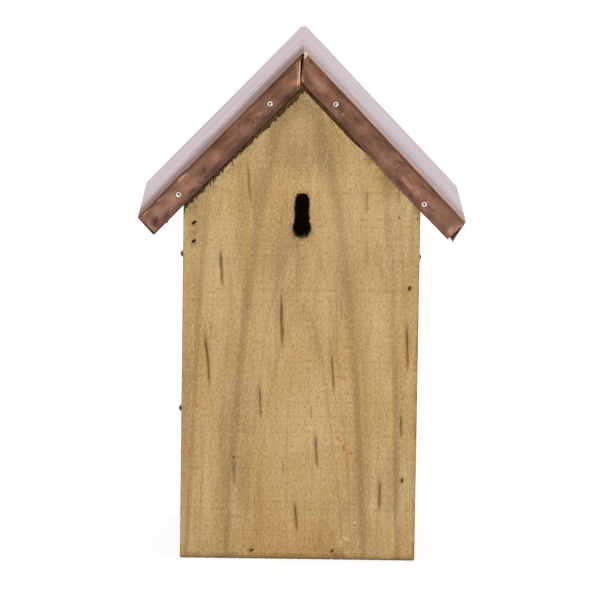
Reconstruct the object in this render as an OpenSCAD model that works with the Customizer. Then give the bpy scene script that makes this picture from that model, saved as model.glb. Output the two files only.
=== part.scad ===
// Gabled bird nest box of pine boards with a folded copper roof.
// The back board, with its hanging slot, faces -Y, and the tilting front door faces +Y.
// The box stands on z = 0, and the origin is at the middle of its base.

/* [Body] */
// Width across the back board and over both side walls
body_w = 130; // [110:1:160]
// Depth from the back board's back face to the front edges of the side walls
body_d = 130; // [110:1:170]
// Height of the side walls at their outer faces
shoulder_h = 196.9; // [160:0.1:260]
// Thickness of the wall boards, the floor and the door
board_t = 15; // [12:0.5:18]
// Leg of the corner cut off each floor corner, which lets water out
floor_corner = 7; // [4:0.5:12]

/* [Roof boards] */
// Slope of both roof boards
roof_pitch = 46; // [35:1:55]
// Thickness of the roof boards
roof_t = 13; // [12:0.5:20]
// Length along the slope that the underside runs on past the side wall
eave_overhang = 22; // [10:1:35]
// Length that the roof runs on past the front edges of the side walls
front_overhang = 16; // [8:1:40]
// Gap between the two roof boards at the ridge mitre
ridge_gap = 0.3; // [0:0.1:1]

/* [Copper roof] */
// Thickness of the copper sheet
copper_t = 0.5; // [0.3:0.1:1]
// Depth of the folded edge, measured from the top of the sheet
flange_h = 13.3; // [12:0.1:14]
// Outer radius of the fold along the ridge
ridge_r = 3; // [2:0.5:5]
// Width at the top of the slit where the end flanges are cut at the ridge
slit_top = 2; // [1:0.1:4]
// Width of that slit at the bottom of the flanges
slit_bottom = 0.6; // [0.3:0.1:1]
// Sideways place of the slit's middle
slit_x = -1.6; // [-3:0.1:3]
// Gap between an end flange and an eave flange where the sheet is cut at a corner
corner_gap = 0.4; // [0.2:0.1:1]

/* [Hanging slot] */
// Width of the slot
slot_w = 8; // [6:0.5:10]
// Diameter of the rounder lower end
slot_end_d = 10; // [10:0.5:14]
// Height of the slot from end to end
slot_h = 24; // [20:1:36]
// Height of the slot's top end above the shoulders
slot_rise = 7.1; // [0:0.1:20]

/* [Door] */
// Gap between the door and each side wall
door_side_gap = 0.6; // [0.4:0.1:2]
// Upright gap between the door's gable and the roof boards
door_top_gap = 3; // [1:0.5:4]
// Gap between the door's bottom edge and the ground
door_bottom_gap = 1; // [0.5:0.5:4]
// Distance that the door's face lies back from the side walls' front edges
door_recess = 1; // [0:0.5:4]
// Gap between the floor board and the door
floor_door_gap = 0.3; // [0.2:0.1:1]
// Diameter of the entrance hole
entrance_d = 32; // [25:1:45]
// Height of the entrance hole's middle above the shoulders
entrance_rise = 9; // [4:1:14]

/* [Door pins] */
// Diameter of the pins' shanks
pin_d = 2.4; // [2:0.1:4]
// Diameter of the pins' heads
pin_head_d = 4; // [3.5:0.1:6]
// Height of the pins' round heads
pin_head_h = 1.4; // [1:0.1:2]
// Distance of the pivot pins below the shoulders
pivot_drop = 44.4; // [36:0.1:60]
// Length of a pivot pin's shank
pivot_len = 30; // [26:1:36]
// Distance that the left pivot pin and the lock pin stand out under their heads
pin_stand = 2.9; // [1:0.1:5]
// Height of the lock pin above the ground
lock_h = 62.4; // [30:0.1:90]
// Gap between the drawn lock pin's tip and the door's edge
lock_tip_gap = 0.3; // [0.2:0.1:1]
// Radial clearance of the pins in the holes that they turn or slide in
running_fit = 0.08; // [0.02:0.01:0.1]
// Depth of each pin hole in the door past the pin's tip
pin_hole_spare = 1; // [0.5:0.5:3]

/* [Flange nails] */
// Diameter of the nails' shanks
nail_d = 1.5; // [1.2:0.1:2]
// Diameter of the nails' dome heads
nail_head_d = 3.2; // [2.8:0.1:5]
// Height of the dome heads
nail_head_h = 1; // [0.6:0.1:2]
// Length of the nails' shanks
nail_len = 18; // [12:1:25]
// Distance of the upper nails below the top of the copper
upper_nail_drop = 7.7; // [5:0.1:10]
// Distance of the lower left nails below the top of the copper
left_nail_drop = 6.9; // [5:0.1:10]
// Distance of the lower right nails below the top of the copper
right_nail_drop = 10; // [5:0.1:10]
// Distance along the slope from the ridge to the upper nail
nail_from_ridge = 33.3; // [20:0.1:50]
// Distance along the slope from the lower nail to the eave
nail_from_eave = 23.8; // [12:0.1:40]

/* [Brads] */
// Wide side of a brad's shank
brad_w = 1.25; // [1:0.05:1.6]
// Narrow side of a brad's shank
brad_t = 1.05; // [0.9:0.05:1.4]
// Length of a brad from its head's top to its tip
brad_len = 35; // [25:1:40]
// Wide side of the mark that a brad leaves
mark_w = 2.7; // [2:0.1:3.5]
// Narrow side of the mark
mark_t = 1.6; // [1.5:0.1:2.5]
// Length of a brad's head
brad_head_len = 0.8; // [0.5:0.1:1.5]
// Depth that a brad's head is sunk below the face
brad_sink = 1; // [0.5:0.1:2]
// Distance of the left back brads from the left edge
left_brad_inset = 5.9; // [4:0.1:8]
// Distance of the upper left back brad below the shoulder
left_brad_drop = 9.2; // [4:0.1:20]
// Distance between the two left back brads
left_brad_pitch = 10.3; // [6:0.1:100]
// Distance of the right back brads from the right edge
right_brad_inset = 6.4; // [4:0.1:8]
// Distance of the upper right back brad below the shoulder
right_brad_drop = 44.2; // [30:0.1:80]
// Height of the lower right back brad above the ground
right_brad_h = 45.1; // [25:0.1:70]
// Height of the back brads in the floor above the ground
floor_brad_h = 5; // [4:0.1:8]
// Distance between the back brads in the floor
floor_brad_pitch = 45; // [30:1:70]
// Distance of the brads in a side wall from the floor's corners
side_brad_inset = 30; // [15:1:40]
// Distance of the roof's upright brads from the side walls' ends
roof_brad_inset = 30; // [24:1:45]
// Distance along the slope from the ridge to the brad in the gable
gable_brad_from_ridge = 70; // [55:1:85]
// Turn of the brads about their own length
brad_turn = 42; // [0:1:90]

/* [Hidden] */
$fn = 96;

// Extra length of a cutting shape past the face that it starts from
cut = 1;
// Clearance round a shank that stays in its hole
still_fit = 0.05;
// Length that a brad's mark is cut before its face, so that it also opens in a slanted one
mark_lead = 3;
// Width and thickness by which a brad's head is smaller than its mark
head_play = [0.6, 0.3];
// Depth that the boards' top edges are planed below the fold's end
ridge_spare = 0.2;

half_w = body_w / 2;
inner_half_w = half_w - board_t;
roof_d = body_d + front_overhang;
back_y = -roof_d / 2;
front_y = roof_d / 2;
wall_front_y = back_y + body_d;
chamber_back_y = back_y + board_t;
door_front_y = wall_front_y - door_recess;
door_back_y = door_front_y - board_t;
pin_y = door_front_y - board_t / 2;

// The roof boards' underside meets the walls' outer faces at the shoulders
under_ridge_z = shoulder_h + half_w * tan(roof_pitch);
ridge_z = under_ridge_z + roof_t / cos(roof_pitch);
roof_run = half_w / cos(roof_pitch) + eave_overhang + roof_t * tan(roof_pitch);
inner_ridge_r = ridge_r - copper_t;
// The boards' sharp top edges are planed off just below where the fold leaves the slope
ridge_planed = inner_ridge_r * tan(roof_pitch) * sin(roof_pitch) + ridge_spare;
// Flats on each side of the ridge that the fold's arc is made of
fold_steps = 6;

door_half_w = inner_half_w - door_side_gap;
door_shoulder_h = under_ridge_z - door_half_w * tan(roof_pitch) - door_top_gap;
pivot_h = shoulder_h - pivot_drop;
entrance_h = shoulder_h + entrance_rise;
lock_len = half_w + pin_stand - door_half_w - lock_tip_gap;
lock_reach = pin_stand - lock_tip_gap;

// Point on the right half of the roof: s runs down the slope from the boards' sharp
// ridge, and h runs square to it into the board
function on_roof(s, h) = [
    s * cos(roof_pitch) - h * sin(roof_pitch),
    ridge_z - s * sin(roof_pitch) - h * cos(roof_pitch)
];

// Stretches an upright outline, drawn as x and z, from one y to another
module between_y(y_from, y_to) {
    translate([0, y_to, 0]) rotate([90, 0, 0]) linear_extrude(y_to - y_from) children();
}

// Mirrors its children to the other side for side = -1
module on_side(side) {
    if (side < 0) mirror([1, 0, 0]) children();
    else children();
}

// A box that is centred on the Y axis and runs from one y to another
module y_bar(w, t, y_from, y_to) {
    translate([-w / 2, y_from, -t / 2]) cube([w, y_to - y_from, t]);
}

// One brad, driven along +Y, with its head's top at the origin
module brad() {
    y_bar(mark_w - head_play[0], mark_t - head_play[1], 0, brad_head_len);
    y_bar(brad_w, brad_t, brad_head_len, brad_len);
}

// The mark and hole of a brad whose head is sunk below the face at y = 0
module brad_hole() {
    y_bar(mark_w, mark_t, -mark_lead, brad_sink + brad_head_len);
    y_bar(brad_w + 2 * still_fit, brad_t + 2 * still_fit, brad_sink, brad_sink + brad_len + still_fit);
}

// Brad and hole share each place: the hole starts at the face, and the brad is sunk
module sunk_brad() {
    translate([0, brad_sink, 0]) brad();
}

module at_back_brads_left() {
    for (i = [0, 1])
        translate([-half_w + left_brad_inset, back_y, shoulder_h - left_brad_drop - i * left_brad_pitch])
            rotate([0, -brad_turn, 0]) children();
}

module at_back_brads_right() {
    for (z = [shoulder_h - right_brad_drop, right_brad_h])
        translate([half_w - right_brad_inset, back_y, z]) rotate([0, -brad_turn, 0]) children();
}

module at_back_brads_floor() {
    for (side = [-1, 1])
        translate([side * floor_brad_pitch / 2, back_y, floor_brad_h])
            rotate([0, -brad_turn, 0]) children();
}

// Brads through a side wall into the floor's edge
module at_floor_brads(side) {
    on_side(side)
        for (y = [chamber_back_y + side_brad_inset, door_back_y - side_brad_inset])
            translate([half_w, y, board_t / 2]) rotate([0, 0, 90]) children();
}

// Two upright brads into a side wall's top and one square to the slope into the gable
module at_roof_brads(side) {
    wall_mid = half_w - board_t / 2;
    on_side(side) {
        for (y = [chamber_back_y + roof_brad_inset, wall_front_y - roof_brad_inset])
            translate([wall_mid, y, ridge_z - wall_mid * tan(roof_pitch)])
                rotate([-90, 0, 0]) children();
        gable = on_roof(gable_brad_from_ridge, 0);
        translate([gable[0], back_y + board_t / 2, gable[1]])
            rotate([0, roof_pitch, 0]) rotate([-90, 0, 0]) children();
    }
}

// The four flange nails of one end, with y = 0 of their children at the copper's face
module at_flange_nails(end) {
    for (side = [-1, 1]) {
        lower_drop = side < 0 ? left_nail_drop : right_nail_drop;
        upper = on_roof(nail_from_ridge, upper_nail_drop - copper_t);
        lower = on_roof(roof_run - nail_from_eave, lower_drop - copper_t);
        for (place = [upper, lower])
            translate([side * place[0], end * (roof_d / 2 + copper_t), place[1]])
                rotate([0, 0, end > 0 ? 180 : 0]) children();
    }
}

// A round head: the cap of a ball, h high, on a flat face of diameter d, facing +Z
module dome(d, h) {
    ball_r = (d * d / 4 + h * h) / (2 * h);
    rotate_extrude()
        intersection() {
            translate([0, h - ball_r]) circle(ball_r);
            square([d, h]);
        }
}

// A nail along +Y with its head's flat side at y = 0
module nail(shank_d, shank_len, head_d, head_h) {
    rotate([-90, 0, 0]) cylinder(d = shank_d, h = shank_len);
    rotate([90, 0, 0]) dome(head_d, head_h);
}

module nail_hole() {
    translate([0, -cut, 0]) rotate([-90, 0, 0])
        cylinder(d = nail_d + 2 * still_fit, h = nail_len + still_fit + cut);
}

// A bore along X through or into the boards at the pins' line
module x_bore(x_from, x_to, z, d) {
    translate([x_from, pin_y, z]) rotate([0, 90, 0]) cylinder(d = d, h = x_to - x_from);
}

module hanging_slot() {
    top_z = shoulder_h + slot_rise - slot_w / 2;
    low_z = shoulder_h + slot_rise - slot_h + slot_end_d / 2;
    between_y(back_y - cut, chamber_back_y + cut) {
        translate([0, top_z]) circle(d = slot_w);
        translate([-slot_w / 2, low_z]) square([slot_w, top_z - low_z]);
        translate([0, low_z]) circle(d = slot_end_d);
    }
}

module back_board() {
    color([0.76, 0.63, 0.42])
    difference() {
        between_y(back_y, chamber_back_y)
            polygon([
                [-half_w, 0], [half_w, 0], [half_w, shoulder_h],
                [0, under_ridge_z], [-half_w, shoulder_h]
            ]);
        hanging_slot();
        at_back_brads_left() brad_hole();
        at_back_brads_right() brad_hole();
        at_back_brads_floor() brad_hole();
        for (side = [-1, 1]) at_roof_brads(side) brad_hole();
    }
}

// A side wall with its top bevelled to the roof
module side_wall(side) {
    color([0.74, 0.61, 0.41])
    difference() {
        on_side(side) between_y(chamber_back_y, wall_front_y)
            polygon([
                [inner_half_w, 0], [half_w, 0], [half_w, shoulder_h],
                [inner_half_w, shoulder_h + board_t * tan(roof_pitch)]
            ]);
        if (side < 0) at_back_brads_left() brad_hole();
        if (side > 0) at_back_brads_right() brad_hole();
        at_floor_brads(side) brad_hole();
        at_roof_brads(side) brad_hole();
        on_side(side)
            x_bore(inner_half_w - cut, half_w + cut, pivot_h, pin_d + 2 * still_fit);
        if (side < 0)
            x_bore(-half_w - cut, -inner_half_w + cut, lock_h, pin_d + 2 * running_fit);
    }
}

module floor_board() {
    front = door_back_y - floor_door_gap;
    c = floor_corner;
    color([0.72, 0.58, 0.38])
    difference() {
        linear_extrude(board_t)
            polygon([
                [-inner_half_w + c, chamber_back_y], [inner_half_w - c, chamber_back_y],
                [inner_half_w, chamber_back_y + c], [inner_half_w, front - c],
                [inner_half_w - c, front], [-inner_half_w + c, front],
                [-inner_half_w, front - c], [-inner_half_w, chamber_back_y + c]
            ]);
        at_back_brads_floor() brad_hole();
        for (side = [-1, 1]) at_floor_brads(side) brad_hole();
    }
}

module front_door() {
    color([0.78, 0.65, 0.44])
    difference() {
        between_y(door_back_y, door_front_y)
            difference() {
                polygon([
                    [-door_half_w, door_bottom_gap], [door_half_w, door_bottom_gap],
                    [door_half_w, door_shoulder_h], [0, under_ridge_z - door_top_gap],
                    [-door_half_w, door_shoulder_h]
                ]);
                translate([0, entrance_h]) circle(d = entrance_d);
            }
        x_bore(-half_w - pin_stand, -half_w - pin_stand + pivot_len + pin_hole_spare,
            pivot_h, pin_d + 2 * running_fit);
        x_bore(half_w - pivot_len - pin_hole_spare, half_w, pivot_h, pin_d + 2 * running_fit);
        x_bore(-half_w, -door_half_w + lock_reach + pin_hole_spare,
            lock_h, pin_d + 2 * running_fit);
    }
}

module roof_board(side) {
    color([0.55, 0.42, 0.28])
    difference() {
        on_side(side) between_y(back_y, front_y)
            difference() {
                polygon([
                    [0, under_ridge_z], [0, ridge_z],
                    on_roof(roof_run, 0), on_roof(roof_run, roof_t)
                ]);
                translate([-cut, under_ridge_z - cut])
                    square([cut + ridge_gap / 2, ridge_z - under_ridge_z + 2 * cut]);
                translate([-cut, ridge_z - ridge_planed]) square([roof_t, ridge_planed + cut]);
            }
        at_roof_brads(side) brad_hole();
        for (end = [-1, 1]) at_flange_nails(end) nail_hole();
    }
}

// A band that follows both slopes, from grow above the boards down to the given depth
// below their tops, with a fold of radius r along the ridge
module roof_outline(grow, depth, r) {
    fold_z = ridge_z + (grow - r) / cos(roof_pitch);
    fold = [
        for (i = [-fold_steps:fold_steps])
            let (a = roof_pitch * i / fold_steps) [r * sin(a), fold_z + r * cos(a)]
    ];
    top = on_roof(roof_run + grow, -grow);
    low = on_roof(roof_run + grow, depth);
    middle = [0, ridge_z - depth / cos(roof_pitch)];
    polygon(concat(fold, [top, low, middle, [-low[0], low[1]], [-top[0], top[1]]]));
}

// The folded sheet: both slopes and the eave flanges
module copper_profile() {
    difference() {
        roof_outline(copper_t, flange_h - copper_t, ridge_r);
        roof_outline(0, flange_h - copper_t + cut, inner_ridge_r);
    }
}

// One end flange: the outline's outer band, slit at the ridge
module end_flange_outline() {
    top_z = ridge_z + copper_t / cos(roof_pitch) + cut;
    low_z = ridge_z - flange_h / cos(roof_pitch);
    difference() {
        roof_outline(copper_t, flange_h - copper_t, ridge_r);
        polygon([
            [slit_x - slit_bottom / 2, low_z - cut], [slit_x + slit_bottom / 2, low_z - cut],
            [slit_x + slit_top / 2, top_z], [slit_x - slit_top / 2, top_z]
        ]);
    }
}

// The cut at the eaves that parts an end flange from the eave flanges
module corner_slits(y_from) {
    for (side = [-1, 1])
        on_side(side) between_y(y_from, y_from + corner_gap)
            polygon([
                on_roof(roof_run - cut, 0), on_roof(roof_run + cut, 0),
                on_roof(roof_run + cut, flange_h + cut), on_roof(roof_run - cut, flange_h + cut)
            ]);
}

module copper_roof() {
    color([0.66, 0.42, 0.32])
    difference() {
        union() {
            between_y(back_y - copper_t, front_y + copper_t) copper_profile();
            between_y(back_y - copper_t, back_y) end_flange_outline();
            between_y(front_y, front_y + copper_t) end_flange_outline();
        }
        corner_slits(back_y);
        corner_slits(front_y - corner_gap);
        for (end = [-1, 1]) at_flange_nails(end) nail_hole();
    }
}

module flange_nails(end) {
    color([0.72, 0.72, 0.73]) at_flange_nails(end) nail(nail_d, nail_len, nail_head_d, nail_head_h);
}

module back_brads_left() {
    color([0.30, 0.27, 0.24]) at_back_brads_left() sunk_brad();
}

module back_brads_right() {
    color([0.30, 0.27, 0.24]) at_back_brads_right() sunk_brad();
}

module back_brads_floor() {
    color([0.30, 0.27, 0.24]) at_back_brads_floor() sunk_brad();
}

module floor_brads(side) {
    color([0.30, 0.27, 0.24]) at_floor_brads(side) sunk_brad();
}

module roof_brads(side) {
    color([0.30, 0.27, 0.24]) at_roof_brads(side) sunk_brad();
}

// A pin through a side wall at height z, its head standing out by the given distance
module side_pin(side, z, stand, shank_len) {
    color([0.48, 0.42, 0.38])
    on_side(side) translate([half_w + stand, pin_y, z]) rotate([0, 0, 90])
        nail(pin_d, shank_len, pin_head_d, pin_head_h);
}

back_board();
side_wall(-1);  // left_side
side_wall(1);  // right_side
floor_board();
front_door();
roof_board(-1);  // roof_board_left
roof_board(1);  // roof_board_right
copper_roof();
flange_nails(-1);  // back_flange_nails
flange_nails(1);  // front_flange_nails
back_brads_left();
back_brads_right();
back_brads_floor();
floor_brads(-1);  // floor_brads_left
floor_brads(1);  // floor_brads_right
roof_brads(-1);  // roof_brads_left
roof_brads(1);  // roof_brads_right
side_pin(-1, pivot_h, pin_stand, pivot_len);  // pivot_pin_left
side_pin(1, pivot_h, 0, pivot_len);  // pivot_pin_right
side_pin(-1, lock_h, pin_stand, lock_len);  // lock_pin
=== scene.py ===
"""Looks of the bird nest box: pine boards, a folded copper roof, bright nails and a door that tilts.

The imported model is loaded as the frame. The back board, the roof boards, the copper, the nails
and the pins get finer meshes of their own; the other boards are copies of the frame's with worn
edges, and the brads keep their solids. Sizes in the classes are in millimetres.
"""

import logging
import math
from dataclasses import dataclass, field
from enum import Enum
from typing import Any, Mapping, Optional, Sequence, Union

import bmesh
import bpy
import numpy as np
from mathutils import Matrix, Vector
from mathutils.geometry import tessellate_polygon


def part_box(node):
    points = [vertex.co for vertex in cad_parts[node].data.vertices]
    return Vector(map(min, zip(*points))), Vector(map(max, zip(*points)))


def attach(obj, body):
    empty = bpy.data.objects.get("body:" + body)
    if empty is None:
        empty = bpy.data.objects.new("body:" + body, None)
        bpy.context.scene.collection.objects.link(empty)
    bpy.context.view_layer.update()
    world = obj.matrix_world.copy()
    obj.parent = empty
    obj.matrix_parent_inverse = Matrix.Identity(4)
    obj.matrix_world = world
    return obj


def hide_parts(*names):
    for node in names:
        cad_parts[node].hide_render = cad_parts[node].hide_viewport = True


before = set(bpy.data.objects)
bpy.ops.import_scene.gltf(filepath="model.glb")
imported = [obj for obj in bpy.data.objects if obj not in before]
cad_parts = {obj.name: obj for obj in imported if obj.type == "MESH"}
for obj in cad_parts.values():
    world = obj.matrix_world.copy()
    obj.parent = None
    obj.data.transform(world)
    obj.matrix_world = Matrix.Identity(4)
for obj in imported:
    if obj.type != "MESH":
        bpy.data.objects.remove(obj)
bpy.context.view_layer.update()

MM = 0.001
FRAME_PIXELS = 600
SENSOR_MM = 36.0
MERGED_M = 1e-6
LEVEL_DEG = 0.5
BENT_DEG = 30.0
ROUND_STEPS = 3
SMALL_FACE_MM2 = 80.0
TURNED_STEPS = 28

log = logging.getLogger("nest_box")

Number = Union[int, float]
Colour = tuple[float, float, float, float]


# Named options


class Body(Enum):
    """The three bodies of the frame that a piece may ride on."""

    BOX = "box"
    DOOR = "door"
    LOCK = "lock"


class Slot(Enum):
    """The record's material slots."""

    PINE_BACK = "pine_back"
    PINE_WALLS = "pine_walls"
    PINE_ROOF = "pine_roof"
    COPPER = "copper_sheet"
    NAIL = "nail_steel"
    PIN = "pin_steel"


class Side(Enum):
    """The two halves of the box as it is seen from the back."""

    LEFT = -1
    RIGHT = 1


# Shader tools


def tone(red: Number, green: Number, blue: Number) -> Colour:
    """A screen colour as the linear colour that a shader takes.

    Args:
        red: Red, from 0 to 255.
        green: Green, from 0 to 255.
        blue: Blue, from 0 to 255.

    Returns:
        The linear colour, with an alpha of one.
    """
    part = np.array([red, green, blue]) / 255.0
    linear = np.where(part <= 0.04045, part / 12.92, ((part + 0.055) / 1.055) ** 2.4)
    return (float(linear[0]), float(linear[1]), float(linear[2]), 1.0)


class Sock:
    """One value in a shader. Its operators add a Math node each, so a shader's sums read as sums."""

    def __init__(self, recipe: "Recipe", socket: Optional[bpy.types.NodeSocket]) -> None:
        """Keeps the recipe that the value belongs to and the socket that gives it, if there is one."""
        self.recipe = recipe
        self.socket = socket

    def math(self, operation: str, *terms: Any) -> "Sock":
        """One Math node with this operation on the terms.

        Args:
            operation: The Math node's operation.
            terms: Its inputs in order, as values or numbers.

        Returns:
            The node's result.
        """
        return self.recipe.node("ShaderNodeMath", {"operation": operation}, dict(enumerate(terms)))

    def __add__(self, other: Any) -> "Sock":
        """The value plus another."""
        return self.math("ADD", self, other)

    def __radd__(self, other: Any) -> "Sock":
        """Another value plus this one."""
        return self.math("ADD", other, self)

    def __sub__(self, other: Any) -> "Sock":
        """The value less another."""
        return self.math("SUBTRACT", self, other)

    def __rsub__(self, other: Any) -> "Sock":
        """Another value less this one."""
        return self.math("SUBTRACT", other, self)

    def __mul__(self, other: Any) -> "Sock":
        """The value times another."""
        return self.math("MULTIPLY", self, other)

    def __rmul__(self, other: Any) -> "Sock":
        """Another value times this one."""
        return self.math("MULTIPLY", other, self)

    def __abs__(self) -> "Sock":
        """The value without its sign."""
        return self.math("ABSOLUTE", self)

    def most(self, other: Any) -> "Sock":
        """The larger of the value and another."""
        return self.math("MAXIMUM", self, other)

    def least(self, other: Any) -> "Sock":
        """The smaller of the value and another."""
        return self.math("MINIMUM", self, other)

    def above(self, other: Any) -> "Sock":
        """One where the value is above another, and nothing elsewhere."""
        return self.math("GREATER_THAN", self, other)


class Recipe:
    """A material's or the world's nodes, with the few calls that the finishes are written in."""

    def __init__(self, owner: Union[str, bpy.types.World]) -> None:
        """Starts a new material without nodes, or takes the nodes off the world.

        Args:
            owner: The new material's name, or the world.
        """
        self.material = bpy.data.materials.new(owner) if isinstance(owner, str) else owner
        self.material.use_nodes = True
        self.tree = self.material.node_tree
        self.tree.nodes.clear()
        self.place = self.node("ShaderNodeTexCoord", output="Object")
        self.facing = self.node("ShaderNodeTexCoord", output="Normal")

    def node(
        self,
        kind: str,
        settings: Optional[Mapping[str, Any]] = None,
        inputs: Optional[Mapping[Union[int, str], Any]] = None,
        output: Union[int, str] = 0,
    ) -> Sock:
        """Adds a node. Its settings come first, and then the values or links of its sockets.

        Args:
            kind: The node's type.
            settings: The node's settings by name.
            inputs: A value, or a Sock to link, for each named or numbered input.
            output: The output to give back.

        Returns:
            That output.
        """
        made = self.tree.nodes.new(kind)
        for name, value in (settings or {}).items():
            setattr(made, name, value)
        for name, value in (inputs or {}).items():
            if isinstance(value, Sock):
                self.tree.links.new(value.socket, made.inputs[name])
            else:
                made.inputs[name].default_value = value
        return Sock(self, made.outputs[output] if len(made.outputs) else None)

    def mix(self, factor: Any, first: Any, second: Any) -> Sock:
        """Two colours mixed: the first where the factor is 0, the second where it is 1."""
        colours = {0: factor, 6: first, 7: second}
        return self.node("ShaderNodeMix", {"data_type": "RGBA"}, colours, output=2)

    def fade(self, value: Any, start: Number, end: Number, full: Number = 1.0) -> Sock:
        """A smooth change from nothing where the value is start to full where it is end."""
        inputs = {0: value, 1: start, 2: end, 3: 0.0, 4: full}
        return self.node("ShaderNodeMapRange", {"interpolation_type": "SMOOTHSTEP"}, inputs)

    def noise(self, where: Sock, scale: Number = 1.0, detail: Number = 2.0, rough: Number = 0.5) -> Sock:
        """A cloudy value of about 0.2 to 0.8 at each place.

        Args:
            where: The place, already stretched for the pattern.
            scale: Clouds to the metre.
            detail: How many finer layers are added.
            rough: How strong the finer layers are.

        Returns:
            The value.
        """
        inputs = {"Vector": where, "Scale": scale, "Detail": detail, "Roughness": rough}
        return self.node("ShaderNodeTexNoise", {"noise_dimensions": "3D"}, inputs)

    def clouds(
        self, where: Sock, stretch: Sequence[float], detail: Number = 2.0, rough: Number = 0.5
    ) -> Sock:
        """A cloudy value with this many clouds to the metre along each axis."""
        return self.noise(self.stretched(where, stretch), 1.0, detail, rough)

    def covered(self, colour: Sock, layers: Sequence[tuple[Any, Any]]) -> Sock:
        """A colour under layers, the lowest first, each with how far it covers and its own colour."""
        for cover, own in layers:
            colour = self.mix(cover, colour, own)
        return colour

    def noise_along(self, distance: Sock, scale: Number, detail: Number = 2.0, rough: Number = 0.5) -> Sock:
        """A cloudy value that changes with one distance alone."""
        inputs = {"W": distance, "Scale": scale, "Detail": detail, "Roughness": rough}
        return self.node("ShaderNodeTexNoise", {"noise_dimensions": "1D"}, inputs)

    def vector(self, operation: str, *terms: Any) -> Sock:
        """One Vector Math node on the terms."""
        return self.node("ShaderNodeVectorMath", {"operation": operation}, dict(enumerate(terms)))

    def stretched(self, where: Sock, stretch: Sequence[float]) -> Sock:
        """A place multiplied along each axis, so that a pattern drawn there gets finer."""
        inputs = {"Vector": where, "Scale": tuple(stretch)}
        return self.node("ShaderNodeMapping", {"vector_type": "POINT"}, inputs)

    def length(self, where: Sock) -> Sock:
        """The length of a vector."""
        return self.node("ShaderNodeVectorMath", {"operation": "LENGTH"}, {0: where}, output=1)

    def dot(self, where: Sock, way: Sequence[float]) -> Sock:
        """How far a vector goes along a way of length one."""
        settings = {"operation": "DOT_PRODUCT"}
        return self.node("ShaderNodeVectorMath", settings, {0: where, 1: tuple(way)}, output=1)

    def split(self, where: Sock) -> tuple[Sock, Sock, Sock]:
        """The three parts of a vector."""
        first = self.node("ShaderNodeSeparateXYZ", inputs={0: where})
        outputs = first.socket.node.outputs
        return first, Sock(self, outputs[1]), Sock(self, outputs[2])

    def join(self, x: Any, y: Any, z: Any) -> Sock:
        """A vector from its three parts."""
        return self.node("ShaderNodeCombineXYZ", inputs={0: x, 1: y, 2: z})

    def shaken(
        self, where: Sock, scale: Number, reach: Number, stretch: Sequence[float] = (1, 1, 1)
    ) -> Sock:
        """A place moved by a cloudy offset, so that what is drawn there gets an uneven edge.

        Args:
            where: The place.
            scale: Clouds to the metre.
            reach: The largest offset, in metres.
            stretch: How much finer the clouds are along each axis.

        Returns:
            The moved place.
        """
        clouds = {"Vector": self.stretched(where, stretch), "Scale": scale, "Detail": 2.0}
        drift = self.node("ShaderNodeTexNoise", {"noise_dimensions": "3D"}, clouds, output="Color")
        centred = self.vector("SUBTRACT", drift, (0.5, 0.5, 0.5))
        return self.vector("MULTIPLY_ADD", centred, (2 * reach, 2 * reach, 2 * reach), where)

    def ovals(self, where: Sock, marks: Sequence["Oval"], core: float = 0.35) -> Sock:
        """Where a set of ovals lies: the largest of their soft discs.

        Each oval is the place moved to its middle, turned by its lean and divided by its half
        sizes. A ball of radius one there rises from nothing at its rim to one at its middle, and
        the disc fades with it from nothing to the oval's strength at the core.

        Args:
            where: The place, in metres.
            marks: The ovals.
            core: The share of an oval that has its full strength.

        Returns:
            The marks' strength at each place.
        """
        total: Any = 0.0
        for mark in marks:
            inputs = {
                "Vector": where,
                "Location": (mark.x * MM, 0.0, mark.z * MM),
                "Rotation": (0.0, math.radians(mark.lean), 0.0),
                "Scale": (mark.half_w * MM, 1.0, mark.half_l * MM),
            }
            own = self.node("ShaderNodeMapping", {"vector_type": "TEXTURE"}, inputs)
            ball = self.node("ShaderNodeTexGradient", {"gradient_type": "SPHERICAL"}, {0: own}, output=1)
            total = self.fade(ball, 0.0, 1.0 - core, mark.strength).most(total)
        return total

    def finish(
        self,
        colour: Any,
        rough: Any,
        height: Optional[Sock] = None,
        metallic: Any = 0.0,
        settings: Optional[Mapping[str, Any]] = None,
    ) -> bpy.types.Material:
        """Ends the material in one Principled shader.

        Args:
            colour: The base colour.
            rough: The roughness.
            height: The relief in millimetres, or None for a flat surface.
            metallic: One for bare metal, less where it is tarnished, and nothing for wood.
            settings: Other sockets of the shader that hold the same value all over.

        Returns:
            The finished material.
        """
        inputs: dict[Union[int, str], Any] = {"Base Color": colour, "Roughness": rough, "Metallic": metallic}
        inputs.update(settings or {})
        if height is not None:
            relief = {"Height": height, "Strength": 1.0, "Distance": MM}
            inputs["Normal"] = self.node("ShaderNodeBump", inputs=relief)
        shader = self.node("ShaderNodeBsdfPrincipled", inputs=inputs)
        self.node("ShaderNodeOutputMaterial", inputs={"Surface": shader})
        return self.material


# Finishes


@dataclass(frozen=True)
class Lay:
    """How a board was sawn from its log.

    Attributes:
        origin: The board's own zero, in millimetres.
        across: The way across the board's face.
        along: The way along the grain.
        heart_across: Where the log's heart lies across the face, in millimetres.
        heart_depth: How deep the heart lies behind the face at the origin.
        taper: How much deeper it lies for each millimetre along the grain.
    """

    origin: tuple[float, float, float]
    across: tuple[float, float, float]
    along: tuple[float, float, float]
    heart_across: float = 0.0
    heart_depth: float = 20.0
    taper: float = 0.09

    def on_board(self, recipe: Recipe) -> Sock:
        """The place in the board's own axes: across the face, into the board, along the grain."""
        across = Vector(self.across)
        along = Vector(self.along)
        turn = Matrix((across, along.cross(across), along))
        inputs = {
            "Vector": recipe.place,
            "Location": -(turn @ (Vector(self.origin) * MM)),
            "Rotation": turn.to_euler("XYZ"),
        }
        return recipe.node("ShaderNodeMapping", {"vector_type": "POINT"}, inputs)


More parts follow.
